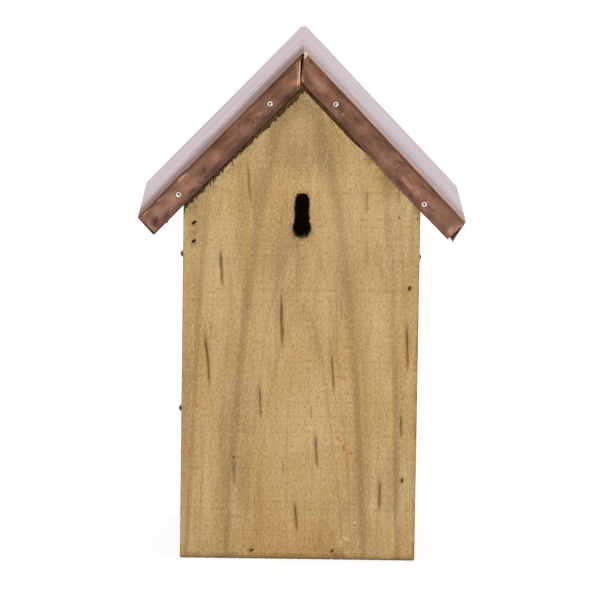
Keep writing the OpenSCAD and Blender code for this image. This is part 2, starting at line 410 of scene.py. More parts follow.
@dataclass(frozen=True)
class Ring:
    """A dark year ring, drawn as a band: its radius, its sharp inner and soft outer width and how
    far its middle lies from the heart, in millimetres, and how dark it is."""

    radius: float
    inner: float
    outer: float
    depth: float
    shift: float = 0.0


@dataclass(frozen=True)
class Oval:
    """A mark: its middle, half width and half length in millimetres, its lean to the right at its
    far end in degrees, and its strength."""

    x: float
    z: float
    half_w: float
    half_l: float
    lean: float = 0.0
    strength: float = 1.0

    def part(self, along: float, wider: float, longer: float, stronger: float) -> "Oval":
        """A part of this mark, moved along it by a share of its half length and resized.

        Args:
            along: How far it is moved, as a share of the half length.
            wider: Its half width, as a share.
            longer: Its half length, as a share.
            stronger: Its strength, as a share.

        Returns:
            The part.
        """
        lean = math.radians(self.lean)
        move = along * self.half_l
        x, z = self.x + move * math.sin(lean), self.z + move * math.cos(lean)
        return Oval(x, z, wider * self.half_w, longer * self.half_l, self.lean, stronger * self.strength)


def ovals(*rows: Sequence[float]) -> tuple[Oval, ...]:
    """Ovals from rows of their numbers, in the order of the fields."""
    return tuple(Oval(*row) for row in rows)


@dataclass
class PineCoat:
    """The layers of a pine finish while they are being laid."""

    colour: Sock
    rough: Sock
    height: Sock


@dataclass(frozen=True)
class TreatedPine:
    """Planed pine with a green-gold treatment: soft grey rings, fine upright fibres and mottling."""

    name: str
    lay: Lay
    rings: tuple[Ring, ...] = (Ring(43.3, 2.4, 9.5, 0.66, -1.4), Ring(61.9, 1.8, 7.5, 0.60, -2.8))
    lines_share: float = 0.30
    golden: Colour = tone(199, 162, 102)
    beige: Colour = tone(205, 172, 120)
    shade: Colour = tone(146, 116, 78)
    fibre: Colour = tone(146, 110, 56)
    dash: Colour = tone(116, 86, 46)
    pore: Colour = tone(128, 94, 48)
    pale: Colour = tone(232, 206, 160)
    end_tone: Colour = tone(128, 98, 58)

    def ring_depth(self, recipe: Recipe, spot: Sock) -> tuple[Sock, Sock]:
        """How dark the year rings are: bands over the distance from the log's heart.

        Args:
            recipe: The material's nodes.
            spot: The place in the board's own axes.

        Returns:
            The depth of the broad bands, and that of the fine lines between them.
        """
        drifted = recipe.shaken(spot, 26.0, 0.0016, (1.0, 1.0, 0.3))
        across, into, along = recipe.split(drifted)
        depth = into - along * self.lay.taper - self.lay.heart_depth * MM
        aside = across - self.lay.heart_across * MM
        radius = recipe.length(recipe.join(aside, depth, 0.0)) * 1000.0
        patchy = recipe.fade(recipe.clouds(spot, (55, 55, 9), detail=3), 0.25, 0.6)
        broad: Any = 0.0
        for ring in self.rings:
            own = recipe.length(recipe.join(aside - ring.shift * MM, depth, 0.0)) * 1000.0
            rise = recipe.fade(own, ring.radius - ring.inner, ring.radius)
            core = recipe.fade(own, ring.radius + 2.2, ring.radius + 0.8, 0.6 * ring.depth)
            tail = recipe.fade(own, ring.radius + ring.outer, ring.radius + 0.8, 0.4 * ring.depth)
            broad = rise * (core + tail) + broad
        fine = recipe.noise_along(radius, 0.42, detail=3.0, rough=0.6)
        lines = recipe.fade(fine, 0.50, 0.80)
        return broad * (patchy * 0.7 + 0.3), lines * (patchy * 0.5 + 0.5)

    def tinted(self, recipe: Recipe, colour: Sock, spot: Sock) -> Sock:
        """The colour with the board's soft tones under its fibres. A plain board has none."""
        return colour

    def lay_coat(self, recipe: Recipe) -> PineCoat:
        """The plain board without marks.

        Args:
            recipe: The material's nodes.

        Returns:
            The colour, roughness and relief.
        """
        spot = self.lay.on_board(recipe)
        broad, lines = self.ring_depth(recipe, spot)
        cloud = recipe.clouds(spot, (40, 40, 14), detail=4, rough=0.6)
        colour = recipe.mix(recipe.fade(cloud, 0.38, 0.62), self.golden, self.beige)
        colour = self.tinted(recipe, colour, spot)
        soft = recipe.clouds(spot, (130, 130, 22), detail=4, rough=0.65)
        hairs = recipe.clouds(spot, (1350, 1350, 480), detail=2, rough=0.65)
        dashes = recipe.clouds(spot, (900, 900, 90), detail=1)
        streaks = recipe.clouds(spot, (420, 420, 12), detail=3, rough=0.65)
        grit = recipe.noise(spot, 1150.0, detail=2, rough=0.6)
        planer = recipe.noise_along(recipe.split(spot)[2], 480.0, detail=1.0)
        end = recipe.fade(abs(recipe.dot(recipe.facing, self.lay.along)), 0.75, 0.92)
        layers = (
            (lines * self.lines_share, self.shade),
            (broad, self.shade),
            (recipe.fade(soft, 0.52, 0.72, 0.34), self.shade),
            (recipe.fade(soft, 0.47, 0.30, 0.30), self.pale),
            (recipe.fade(hairs, 0.48, 0.72, 0.56), self.fibre),
            (recipe.fade(hairs, 0.50, 0.26, 0.42), self.pale),
            (recipe.fade(dashes, 0.66, 0.78, 0.36), self.dash),
            (recipe.fade(streaks, 0.54, 0.74, 0.34), self.shade),
            (recipe.fade(grit, 0.52, 0.76, 0.48), self.pore),
            (recipe.fade(grit, 0.46, 0.26, 0.32), self.pale),
            (recipe.fade(planer, 0.55, 0.72, 0.12), self.shade),
            (end * 0.75, self.end_tone),
        )
        colour = recipe.covered(colour, layers)
        rough = 0.76 - broad * 0.05 + (hairs - 0.5) * 0.12
        height = (hairs - 0.5) * -0.07 + (streaks - 0.5) * -0.03 + (grit - 0.5) * 0.05
        return PineCoat(colour, rough, height)

    def material(self) -> bpy.types.Material:
        """The finished material."""
        recipe = Recipe(self.name)
        coat = self.lay_coat(recipe)
        return recipe.finish(coat.colour, coat.rough, coat.height, settings={"Specular IOR Level": 0.28})


@dataclass(frozen=True)
class MarkedPine(TreatedPine):
    """The back board's pine, with all that years of handling left on its face.

    Resin pockets are dark at the top and golden below, copper was rubbed off on the wood in short
    smears, and grime sits round the slot's rim and along the bottom. The slot's walls carry painted
    shade, and along the upper edges lie painted shade under the roof, a painted shadow at the torn
    edge and the painted shadow line of a gap under the dark strip.
    """

    pockets: tuple[Oval, ...] = ovals(
        (-43.9, 163.5, 1.1, 12.0, -4.0),
        (-51.2, 115.0, 1.2, 15.0, -6.0, 1.1),
        (-49.9, 101.0, 0.6, 5.5, -7.0, 0.7),
        (-10.4, 135.0, 1.2, 17.0, -2.0, 1.1),
        (59.0, 121.0, 1.2, 15.0, -2.5, 1.1),
        (18.2, 106.0, 1.0, 13.0, -3.5),
        (-29.2, 211.0, 1.0, 13.0, -5.0, 0.7),
        (35.5, 201.0, 1.3, 9.0, -1.0, 0.5),
        (-21.6, 89.0, 1.0, 10.5, -2.0),
        (9.6, 62.0, 1.0, 10.5, -5.0),
        (-1.1, 24.5, 1.2, 9.5, -4.0),
        (56.4, 76.0, 1.0, 7.5, -3.0),
        (45.2, 38.0, 1.2, 10.5, -1.0),
        (-35.5, 49.0, 0.9, 9.0, -3.0, 0.7),
        (36.0, 172.0, 0.5, 10.0, 0.0, 0.4),
        (22.5, 140.0, 0.5, 7.0, -4.0, 0.5),
        (47.0, 155.0, 0.5, 8.0, 0.0, 0.35),
        (6.5, 83.0, 0.6, 4.0, -3.0, 0.5),
        (-24.0, 31.0, 0.5, 5.0, -3.0, 0.5),
        (-8.5, 52.0, 0.5, 5.0, -6.0, 0.5),
    )
    dim_zones: tuple[Oval, ...] = ovals(
        (1.0, 226.0, 27.0, 21.0, 0.0, 0.50),
        (-7.0, 168.0, 23.0, 38.0, 3.0, 0.42),
        (25.0, 155.0, 9.0, 38.0, -4.0, 0.42),
        (-34.0, 62.0, 15.0, 62.0, 5.0, 0.46),
        (-60.0, 94.0, 8.0, 64.0, 2.0, 0.34),
        (53.0, 40.0, 8.0, 42.0, 0.0, 0.30),
        (31.0, 40.0, 8.0, 42.0, -3.0, 0.26),
        (-58.0, 190.0, 11.0, 20.0, 0.0, 0.34),
        (-27.3, 207.0, 3.0, 15.0, -4.0, 0.60),
        (2.0, 188.0, 12.0, 22.0, 0.0, 0.25),
        (58.0, 170.0, 8.0, 30.0, 0.0, 0.25),
    )
    pale_zones: tuple[Oval, ...] = ovals(
        (42.0, 136.0, 17.0, 62.0, 0.0, 0.55),
        (-43.5, 160.0, 13.0, 52.0, 0.0, 0.55),
        (3.0, 84.0, 27.0, 52.0, 0.0, 0.40),
        (37.0, 190.0, 15.0, 15.0, 0.0, 0.35),
        (-50.0, 50.0, 7.0, 46.0, 0.0, 0.30),
    )
    gold_zones: tuple[Oval, ...] = ovals(
        (0.0, 4.0, 80.0, 17.0, 0.0, 0.50),
        (-20.0, 14.0, 14.0, 16.0, 0.0, 0.40),
        (36.0, 14.0, 14.0, 18.0, 0.0, 0.40),
        (6.0, 232.0, 14.0, 14.0, 0.0, 0.40),
        (52.0, 205.0, 12.0, 12.0, 0.0, 0.40),
        (-40.0, 196.0, 14.0, 12.0, 0.0, 0.35),
        (-62.0, 60.0, 5.0, 70.0, 0.0, 0.35),
    )
    smears: tuple[Oval, ...] = ovals(
        (0.9, 168.9, 2.2, 0.7, -20.0, 0.8),
        (-16.3, 167.5, 0.6, 1.5, -15.0, 0.8),
        (-58.9, 144.4, 0.9, 1.5, 0.0, 0.7),
        (-53.6, 134.7, 1.5, 1.2, 0.0, 0.5),
        (-49.1, 129.2, 1.2, 1.6, 0.0, 0.7),
        (-63.4, 131.8, 0.9, 1.8, 0.0, 0.6),
        (-62.2, 119.6, 1.3, 0.7, 0.0, 0.6),
        (-3.9, 119.8, 0.8, 0.8, -30.0, 0.9),
        (12.5, 111.1, 0.6, 1.0, 0.0, 0.6),
        (17.0, 106.0, 3.0, 0.9, -12.0, 0.6),
        (24.0, 102.5, 3.0, 1.0, 30.0, 0.7),
        (32.2, 102.5, 1.8, 0.7, -40.0, 0.6),
        (10.3, 91.5, 1.0, 1.6, -10.0, 0.7),
        (26.4, 93.4, 2.0, 0.8, -20.0, 0.6),
        (-56.6, 86.0, 1.3, 2.6, -30.0, 0.8),
        (-32.0, 79.2, 0.9, 0.8, 0.0, 0.6),
        (-63.0, 64.5, 0.9, 2.6, 28.0, 0.8),
        (-60.4, 60.0, 1.4, 2.8, 20.0, 0.9),
        (-57.2, 53.5, 0.8, 1.8, 15.0, 0.7),
        (20.4, 72.3, 0.8, 2.2, 22.0, 0.8),
        (21.6, 68.6, 1.3, 1.8, 0.0, 0.9),
        (24.8, 63.5, 1.2, 3.2, 12.0, 0.9),
        (28.2, 60.2, 2.6, 1.2, -12.0, 0.9),
        (31.6, 56.6, 1.0, 2.8, 25.0, 0.8),
        (34.6, 51.5, 0.7, 2.4, 5.0, 0.6),
        (36.0, 41.0, 3.0, 0.8, 25.0, 0.6),
        (46.5, 43.0, 2.0, 0.6, 10.0, 0.5),
        (30.9, 31.2, 2.0, 0.9, 25.0, 0.7),
        (18.7, 13.0, 2.2, 4.5, 0.0, 0.5),
        (5.0, 1.6, 2.6, 1.6, 0.0, 0.9),
        (34.5, 112.5, 1.0, 0.8, 0.0, 0.5),
    )
    specks: tuple[Oval, ...] = ovals(
        (-38.1, 153.5, 0.35, 0.35),
        (35.6, 27.8, 0.45, 0.45),
        (-47.5, 30.5, 0.45, 0.3),
        (53.2, 191.8, 0.7, 1.3, 5.0, 0.8),
        (63.6, 191.4, 0.6, 1.6, 20.0, 0.8),
        (35.0, 105.0, 0.4, 0.4, 0.0, 0.8),
        (-15.5, 73.0, 0.3, 0.3),
        (5.9, 171.0, 0.3, 0.4),
        (59.2, 152.4, 0.9, 1.8, 0.0, 0.9),
        (-35.9, 56.8, 0.8, 1.4, -20.0, 0.7),
    )
    scratches: tuple[Oval, ...] = ovals(
        (6.1, 74.2, 1.8, 0.35, 20.0, 0.8),
        (31.8, 21.2, 1.6, 0.8, 20.0, 0.9),
        (27.0, 12.5, 1.8, 2.2, 20.0, 0.6),
        (33.8, 9.4, 0.6, 1.6, 15.0, 0.7),
        (41.0, 30.5, 2.8, 6.5, 20.0, 0.35),
        (28.0, 4.5, 1.0, 1.0, 0.0, 0.8),
        (24.0, 9.0, 2.0, 3.0, 0.0, 0.4),
    )
    smudges: tuple[Oval, ...] = ovals(
        (6.4, 125.2, 2.6, 1.0, -15.0, 0.6),
        (-59.3, 187.3, 2.6, 2.4, 0.0, 0.7),
        (-59.3, 182.0, 2.6, 2.2, 0.0, 0.5),
        (-59.2, 176.0, 3.0, 3.2, 0.0, 0.75),
        (22.0, 3.0, 6.0, 3.6, 0.0, 0.8),
        (-25.5, 5.0, 3.0, 2.2, 0.0, 0.5),
        (59.0, 152.0, 2.0, 4.0, 0.0, 0.4),
        (57.3, 45.5, 1.8, 4.0, 0.0, 0.5),
        (-58.0, 200.0, 5.0, 6.0, 0.0, 0.4),
        (16.0, 6.0, 16.0, 5.0, 0.0, 0.25),
    )
    crack: tuple[Oval, ...] = ovals(
        (-2.4, 176.0, 0.35, 5.5, 4.0, 0.9),
        (-1.6, 171.0, 0.3, 3.0, 0.0, 0.7),
        (-2.5, 160.0, 0.3, 9.0, -1.0, 0.45),
        (-2.2, 149.0, 0.25, 7.0, 0.0, 0.3),
    )
    slot_axis: tuple[float, float] = (185.1, 200.8)
    slot_radii: tuple[float, float] = (4.8, 3.8)
    under_ridge: float = 264.21
    pitch: float = math.radians(46.0)
    back: float = -73.0
    sunned: Colour = tone(218, 187, 136)
    honey: Colour = tone(186, 142, 78)
    greyed: Colour = tone(150, 118, 84)
    resin_gold: Colour = tone(146, 102, 42)
    resin_dark: Colour = tone(92, 70, 42)
    copper_smear: Colour = tone(190, 118, 64)
    oil_orange: Colour = tone(196, 130, 52)
    oil_red: Colour = tone(146, 78, 42)
    scraped: Colour = tone(236, 218, 184)
    smudged: Colour = tone(92, 80, 62)
    speckled: Colour = tone(74, 48, 30)
    cracked: Colour = tone(112, 74, 34)
    slot_rim: Colour = tone(104, 80, 50)
    slot_inside_shade: Colour = tone(40, 27, 15)
    under_roof_shade: Colour = tone(110, 86, 54)
    shadowed: Colour = tone(34, 25, 17)
    strip_dark: Colour = tone(62, 42, 18)
    strip_light: Colour = tone(126, 92, 42)
    strip_gap_shadow: Colour = tone(22, 15, 10)
    foot_grime: Colour = tone(108, 84, 52)
    foot_edge: Colour = tone(108, 78, 44)
    side_grime: Colour = tone(120, 88, 52)

    def slot_distance(self, recipe: Recipe, where: Sock) -> Sock:
        """The distance from the edge of the hanging slot.

        The place's distance from the slot's middle line, less a radius that widens from the upper
        end's to the lower end's where the slot does.

        Args:
            recipe: The material's nodes.
            where: The place, in metres.

        Returns:
            The distance outwards, in millimetres.
        """
        x, _, z = recipe.split(where)
        low, top = self.slot_axis
        held = (z * 1000.0).most(low).least(top)
        radius = recipe.fade(z * 1000.0, low + 2.0, low + 4.0, self.slot_radii[1] - self.slot_radii[0])
        reach = recipe.length(recipe.join(x * 1000.0, z * 1000.0 - held, 0.0))
        return reach - (radius + self.slot_radii[0])

    def tinted(self, recipe: Recipe, colour: Sock, spot: Sock) -> Sock:
        """The soft zones of the back face: greyer, paler and more golden.

        Args:
            recipe: The material's nodes.
            colour: The colour under the zones.
            spot: The place in the board's own axes.

        Returns:
            The colour with the zones.
        """
        drifting = recipe.shaken(recipe.place, 45.0, 0.009, (1.0, 1.0, 0.4))
        patches = recipe.clouds(spot, (90, 90, 26), detail=4, rough=0.65)
        veil = recipe.fade(patches, 0.28, 0.62)
        pale = recipe.ovals(drifting, self.pale_zones, 0.1)
        gold = recipe.ovals(drifting, self.gold_zones, 0.1)
        dim = recipe.ovals(drifting, self.dim_zones, 0.1)
        colour = recipe.mix(pale * veil * 1.2, colour, self.sunned)
        colour = recipe.mix(gold * veil * 1.2, colour, self.honey)
        return recipe.mix(dim * veil * 1.25, colour, self.greyed)

    def strip(self, recipe: Recipe, gable: Sock, fibrous: Sock) -> tuple[Sock, Sock]:
        """The stained strip along the gable's edges, wide at the ridge and narrow at the eaves.

        Args:
            recipe: The material's nodes.
            gable: The distance below the gable's edges, in millimetres.
            fibrous: Clouds like fibres.

        Returns:
            Where the strip is, and where the dark line along its lower side is: the painted shadow of the
            gap under the roof board.
        """
        x, _, _ = recipe.split(recipe.place)
        left = recipe.fade(x, -0.006, -0.054, -1.5) + 2.5
        right = recipe.fade(x, 0.026, 0.040, -1.6) + 1.5
        on_left = recipe.fade(x, 0.0004, -0.0004)
        width = left * on_left + right * (1.0 - on_left)
        coarse = recipe.clouds(recipe.place, (800, 800, 260), detail=3, rough=0.7)
        uneven = (coarse - 0.5) * (on_left * 4.4 + 0.7) + (fibrous - 0.5) * on_left * 2.0
        over = gable + uneven - width
        # Painted shadow: a dark line along the strip's lower side, for the gap between the roof board and
        # the back board.
        line = recipe.fade(over, 0.55, 0.15) * recipe.fade(over, -0.75, -0.15)
        return recipe.fade(over, 0.25, -0.25), line * recipe.fade(width, 0.0, 0.5)

    def material(self) -> bpy.types.Material:
        """The finished material: the plain coat, and then each kind of mark over it."""
        recipe = Recipe(self.name)
        coat = self.lay_coat(recipe)
        x, y, z = recipe.split(recipe.place)
        skin = recipe.fade(y, (self.back + 3.0) * MM, (self.back + 1.2) * MM)
        wavy = recipe.shaken(recipe.place, 260.0, 0.0007, (1.0, 1.0, 0.3))
        ragged = recipe.shaken(recipe.place, 520.0, 0.0013)
        broken = recipe.clouds(recipe.place, (900, 900, 500), detail=3, rough=0.7)
        fibrous = recipe.clouds(recipe.place, (1700, 1700, 170), detail=2, rough=0.6)

        halo = tuple(m.part(0.3, 2.6, 1.3, 0.45) for m in self.pockets)
        upper = tuple(m.part(0.25, 0.95, 0.75, 1.0) for m in self.pockets)
        lower = tuple(m.part(-0.45, 1.2, 0.75, 1.0) for m in self.pockets)
        round_resin = recipe.ovals(wavy, halo, 0.0) * skin
        gold = recipe.ovals(wavy, lower, 0.2) * skin
        dark = recipe.ovals(wavy, upper, 0.1) * skin
        smear = recipe.ovals(ragged, self.smears, 0.3) * recipe.fade(broken, 0.28, 0.48) * skin
        oil = recipe.clouds(recipe.place, (150, 150, 60), detail=4, rough=0.7)
        left = recipe.fade(x, -0.0595, -0.0645) * recipe.fade(z, 0.150, 0.120)
        right = recipe.fade(x, 0.0628, 0.0648) * recipe.fade(z, 0.175, 0.140)
        scratch = recipe.ovals(ragged, self.scratches, 0.2) * recipe.fade(broken, 0.40, 0.52) * skin
        smudge = recipe.ovals(ragged, self.smudges, 0.1) * recipe.fade(broken, 0.34, 0.62) * skin
        speck = recipe.ovals(wavy, self.specks, 0.4) * skin
        split_line = recipe.ovals(wavy, self.crack, 0.2) * skin

        rim = self.slot_distance(recipe, ragged)
        lit = recipe.fade(rim, 3.2, 0.2) * recipe.fade(fibrous, 0.34, 0.60)
        below = recipe.fade(z, 0.1860, 0.1815)
        # Painted shade: the slot's walls are painted near black, as the deep hole would look, and made fully
        # rough.
        inside = recipe.fade(rim + (fibrous - 0.5) * 2.2, 0.6, 0.05)

        grime = recipe.clouds(recipe.place, (170, 170, 90), detail=4, rough=0.65)
        drop = (self.under_ridge * MM - z) * math.cos(self.pitch) - abs(x) * math.sin(self.pitch)
        gable = drop * 1000.0
        toward_left = recipe.fade(x, 0.012, -0.055)
        # Painted shade: a patchy darker band below the gable's edges, where the roof's edge shades the face.
        shade_band = recipe.fade(gable, 11.0, 1.0) * recipe.fade(grime, 0.40, 0.64)
        torn = recipe.clouds(recipe.place, (1000, 1000, 330), detail=2)
        # Painted shadow: the torn upper edge goes near black under the copper, most on the left.
        jag = recipe.fade(gable + (torn - 0.5) * -13.0 * (toward_left + 0.05), 2.1, 1.1)
        strip, line = self.strip(recipe, gable, fibrous)
        flecks = recipe.clouds(recipe.place, (1300, 1300, 900), detail=3, rough=0.7)
        stained = recipe.mix(recipe.fade(flecks, 0.42, 0.66), self.strip_dark, self.strip_light)
        foot = recipe.fade(z * 1000.0 + (grime - 0.5) * 6.0, 4.2, 0.4)
        sill = recipe.fade(z * 1000.0 + (fibrous - 0.5) * 3.0, 1.3, 0.3)
        side_wear = recipe.fade(abs(x), 0.0640, 0.0650) * recipe.fade(grime, 0.35, 0.6)

        layers = (
            (round_resin, self.shade),
            (gold * 0.9, self.resin_gold),
            (dark * 0.8, self.resin_dark),
            (smear, self.copper_smear),
            (left * recipe.fade(oil, 0.52, 0.66) * skin * 0.5, self.oil_orange),
            (right * recipe.fade(oil, 0.38, 0.60) * skin * 0.6, self.oil_red),
            (scratch, self.scraped),
            (smudge * 0.7, self.smudged),
            (speck * 0.85, self.speckled),
            (split_line * 0.8, self.cracked),
            (lit * (below * 0.4 + 0.45), self.slot_rim),
            (inside, self.slot_inside_shade),
            (shade_band * 0.46, self.under_roof_shade),
            (jag * (toward_left * 0.8 + 0.1), self.shadowed),
            (strip, stained),
            (line * 0.85, self.strip_gap_shadow),
            (foot * 0.55, self.foot_grime),
            (sill * 0.65, self.foot_edge),
            (side_wear * skin * 0.45, self.side_grime),
        )
        colour = recipe.covered(coat.colour, layers)
        height = coat.height - dark * 0.12 - split_line * 0.2 - speck * 0.1 - inside * 0.2 * fibrous
        rough = (coat.rough + inside + strip).least(1.0)
        return recipe.finish(colour, rough, height, settings={"Specular IOR Level": 0.22})


@dataclass(frozen=True)
class StainedPine(TreatedPine):
    """The roof boards' pine: rough sawn, and soaked dark at the ends that show under the copper."""

    soaked_dark: Colour = tone(64, 42, 18)
    soaked_light: Colour = tone(132, 98, 48)
    fleck: Colour = tone(190, 160, 96)
    slit_shade: Colour = tone(10, 7, 6)

    def material(self) -> bpy.types.Material:
        """The finished material."""
        recipe = Recipe(self.name)
        coat = self.lay_coat(recipe)
        x, y, z = recipe.split(recipe.place)
        soaked = recipe.noise(recipe.place, 240.0, detail=4, rough=0.7)
        near_end = recipe.fade(abs(y) + (soaked - 0.5) * 0.012, 0.066, 0.0725)
        coarse = recipe.noise(recipe.place, 1300.0, detail=3, rough=0.7)
        stain = recipe.mix(recipe.fade(coarse, 0.40, 0.68), self.soaked_dark, self.soaked_light)
        flecked = recipe.fade(coarse, 0.66, 0.74, 0.7) * near_end
        # Painted shade: near the ridge, behind the copper's slit, the board is painted near black, as the
        # deep gap would look.
        slit = recipe.fade(abs(x + 0.0015), 0.0036, 0.0024) * recipe.fade(z, 0.2630, 0.2690)
        layers = ((near_end * 0.92, stain), (flecked, self.fleck), (slit, self.slit_shade))
        colour = recipe.covered(coat.colour, layers)
        saw = recipe.clouds(recipe.place, (90, 700, 90), detail=2)
        height = coat.height + (saw - 0.5) * 0.16 + (coarse - 0.5) * 0.3 * near_end
        return recipe.finish(colour, coat.rough * 1.05, height, settings={"Specular IOR Level": 0.25})


@dataclass(frozen=True)
class TarnishedCopper:
    """Thin copper sheet, rubbed and tarnished: brown on the flanges; on the slopes a pale satin colour
    that is painted reflection of the white background, with painted shade near the back.

    Attributes:
        name: The material's name.
        ridge: The height of the boards' sharp ridge, in millimetres.
        pitch: The roof's slope.
        end: Where the end flanges' faces lie on either side of the middle, in millimetres.
    """

    name: str = "tarnished_copper"
    ridge: float = 282.92
    pitch: float = math.radians(46.0)
    end: float = 73.5
    clean: Colour = tone(196, 142, 116)
    rosy: Colour = tone(212, 158, 134)
    brown: Colour = tone(172, 122, 98)
    dark: Colour = tone(122, 84, 74)
    bright: Colour = tone(246, 190, 156)
    satin_reflection: Colour = tone(230, 191, 180)
    dull: Colour = tone(168, 138, 133)
    near_back_shade: Colour = tone(136, 108, 98)
    left_fold: Colour = tone(198, 140, 112)
    fold_shadow: Colour = tone(78, 50, 42)
    oiled: Colour = tone(166, 128, 98)
    highlight_glow: Colour = tone(250, 180, 142)
    stained: Colour = tone(84, 56, 56)
    paled: Colour = tone(222, 186, 172)
    nail_shadow: Colour = tone(88, 58, 50)
    cut: Colour = tone(38, 26, 24)
    shining: Colour = tone(255, 220, 184)
    underside_shade: Colour = tone(96, 64, 56)
    stains: tuple[Oval, ...] = ovals(
        (-25.0, 11.4, 9.0, 2.2, 0.0, 0.9),
        (-41.0, 10.6, 7.0, 2.4, -10.0, 0.8),
        (-47.5, 7.8, 1.0, 2.4, -20.0, 0.5),
        (-60.0, 11.6, 12.0, 1.5, 0.0, 0.5),
        (-82.0, 10.8, 13.0, 2.4, 0.0, 0.7),
        (-97.5, 10.8, 5.5, 2.0, -15.0, 0.75),
        (-103.0, 12.0, 7.0, 1.1, 0.0, 0.5),
        (-126.2, 9.4, 1.7, 0.9, 0.0, 1.0),
        (-124.0, 8.4, 4.6, 5.2, 0.0, 1.0),
        (-118.0, 10.0, 6.0, 3.4, 0.0, 0.7),
        (-117.0, 9.0, 1.2, 3.6, 25.0, 0.4),
        (-127.8, 4.0, 1.0, 4.0, 0.0, 0.5),
        (10.0, 11.4, 5.5, 1.6, 0.0, 0.55),
        (22.0, 11.0, 5.0, 1.6, 0.0, 0.5),
        (44.0, 10.6, 4.2, 2.2, 0.0, 0.75),
        (60.0, 11.8, 16.0, 1.4, 0.0, 0.6),
        (88.0, 11.6, 6.5, 2.4, 0.0, 0.9),
        (97.5, 12.0, 4.0, 1.8, 0.0, 0.6),
        (113.5, 11.4, 3.2, 1.7, 0.0, 0.45),
        (-85.0, 7.4, 7.5, 4.4, 0.0, 0.75),
        (66.0, 5.0, 7.0, 3.0, 0.0, 0.25),
    )
    glow_highlights: tuple[Oval, ...] = ovals(
        (-8.0, 3.0, 2.0, 4.4, -50.0, 0.5),
        (-41.5, 7.0, 4.0, 1.2, -8.0, 0.45),
        (-60.0, 5.5, 12.0, 1.6, 0.0, 0.22),
        (-48.0, 9.6, 1.6, 1.0, 0.0, 0.4),
        (-97.0, 1.2, 4.6, 0.8, -3.0, 1.1),
        (-93.6, 2.4, 0.8, 2.0, -10.0, 0.4),
        (-104.0, 6.5, 8.0, 3.4, 0.0, 0.25),
        (-124.5, 1.1, 3.6, 0.8, 0.0, 0.9),
        (-113.0, 1.2, 5.0, 0.7, 0.0, 0.5),
        (4.5, 3.0, 3.4, 6.0, 45.0, 0.55),
        (-13.0, 10.0, 6.5, 3.2, -20.0, 0.75),
        (10.0, 3.6, 8.0, 4.6, 0.0, 0.6),
        (18.0, 4.2, 15.0, 5.4, 0.0, 0.5),
        (80.8, 6.0, 0.8, 3.6, 0.0, 0.4),
        (91.0, 8.6, 7.0, 1.3, 0.0, 0.55),
        (99.5, 8.2, 2.6, 2.4, 0.0, 0.3),
        (52.0, 6.0, 8.0, 3.0, 0.0, 0.2),
    )
    pales: tuple[Oval, ...] = ovals(
        (-119.5, 4.2, 4.8, 3.4, 0.0, 0.35),
        (-112.0, 2.2, 3.4, 1.0, 0.0, 0.3),
        (39.6, 8.4, 1.9, 1.1, 40.0, 0.75),
        (36.0, 10.6, 3.6, 1.8, 0.0, 0.3),
        (126.8, 9.2, 2.0, 3.2, 15.0, 0.7),
        (128.4, 5.0, 0.8, 5.0, 0.0, 0.4),
        (70.0, 7.5, 1.4, 2.2, -20.0, 0.3),
        (67.0, 3.0, 3.0, 1.0, 0.0, 0.25),
        (108.0, 11.6, 3.0, 1.0, 10.0, 0.4),
    )
    olives: tuple[Oval, ...] = ovals(
        (-88.0, 4.0, 7.0, 6.0, 0.0, 0.6),
        (-80.0, 3.0, 14.0, 3.0, 0.0, 0.3),
        (120.0, 6.0, 11.0, 8.0, 0.0, 0.7),
        (75.0, 4.0, 14.0, 5.0, 0.0, 0.3),
    )
    sheens: tuple[Oval, ...] = ovals(
        (1.6, 1.2, 2.2, 3.4, 20.0, 1.0),
        (-9.9, 6.4, 0.55, 8.4, -46.0, 0.9),
    )
    nail_rims: tuple[Oval, ...] = ovals(
        (-33.7, 7.2, 2.5, 2.5, 0.0, 0.7),
        (-104.6, 6.8, 2.4, 2.4, 0.0, 0.6),
        (33.1, 7.4, 2.5, 2.5, 0.0, 0.7),
        (106.5, 9.8, 2.4, 2.4, 0.0, 0.6),
    )

    def on_sheet(self, recipe: Recipe) -> tuple[Sock, Sock, Sock, Sock]:
        """The place on the folded sheet, the same for both slopes.

        Args:
            recipe: The material's nodes.

        Returns:
            The run down the slope and the depth below the boards' top, in metres, the side as -1 or
            1, and one place for clouds and marks, whose first part is the run, negative on the left.
        """
        x, y, z = recipe.split(recipe.place)
        fall = self.ridge * MM - z
        run = abs(x) * math.cos(self.pitch) + fall * math.sin(self.pitch)
        deep = fall * math.cos(self.pitch) - abs(x) * math.sin(self.pitch)
        side = x.above(0.0) * 2.0 - 1.0
        return run, deep, side, recipe.join(run * side, y, deep)

    def material(self) -> bpy.types.Material:
        """The finished material."""
        recipe = Recipe(self.name)
        run, deep, side, sheet = self.on_sheet(recipe)
        _, y, _ = recipe.split(recipe.place)
        flange = recipe.fade(abs(y), (self.end - 1.2) * MM, (self.end - 0.3) * MM)
        back = recipe.fade(y, 0.0, -0.03)
        left = recipe.fade(side, 0.5, -0.5)

        cloud = recipe.clouds(sheet, (42, 60, 150), detail=4, rough=0.6)
        blotch = recipe.clouds(sheet, (110, 120, 210), detail=4, rough=0.65)
        rolled = recipe.clouds(sheet, (18, 700, 900), detail=3, rough=0.6)
        grain = recipe.clouds(sheet, (1400, 1700, 1700), detail=2, rough=0.6)
        rubbed = recipe.clouds(sheet, (240, 420, 700), detail=3, rough=0.7)

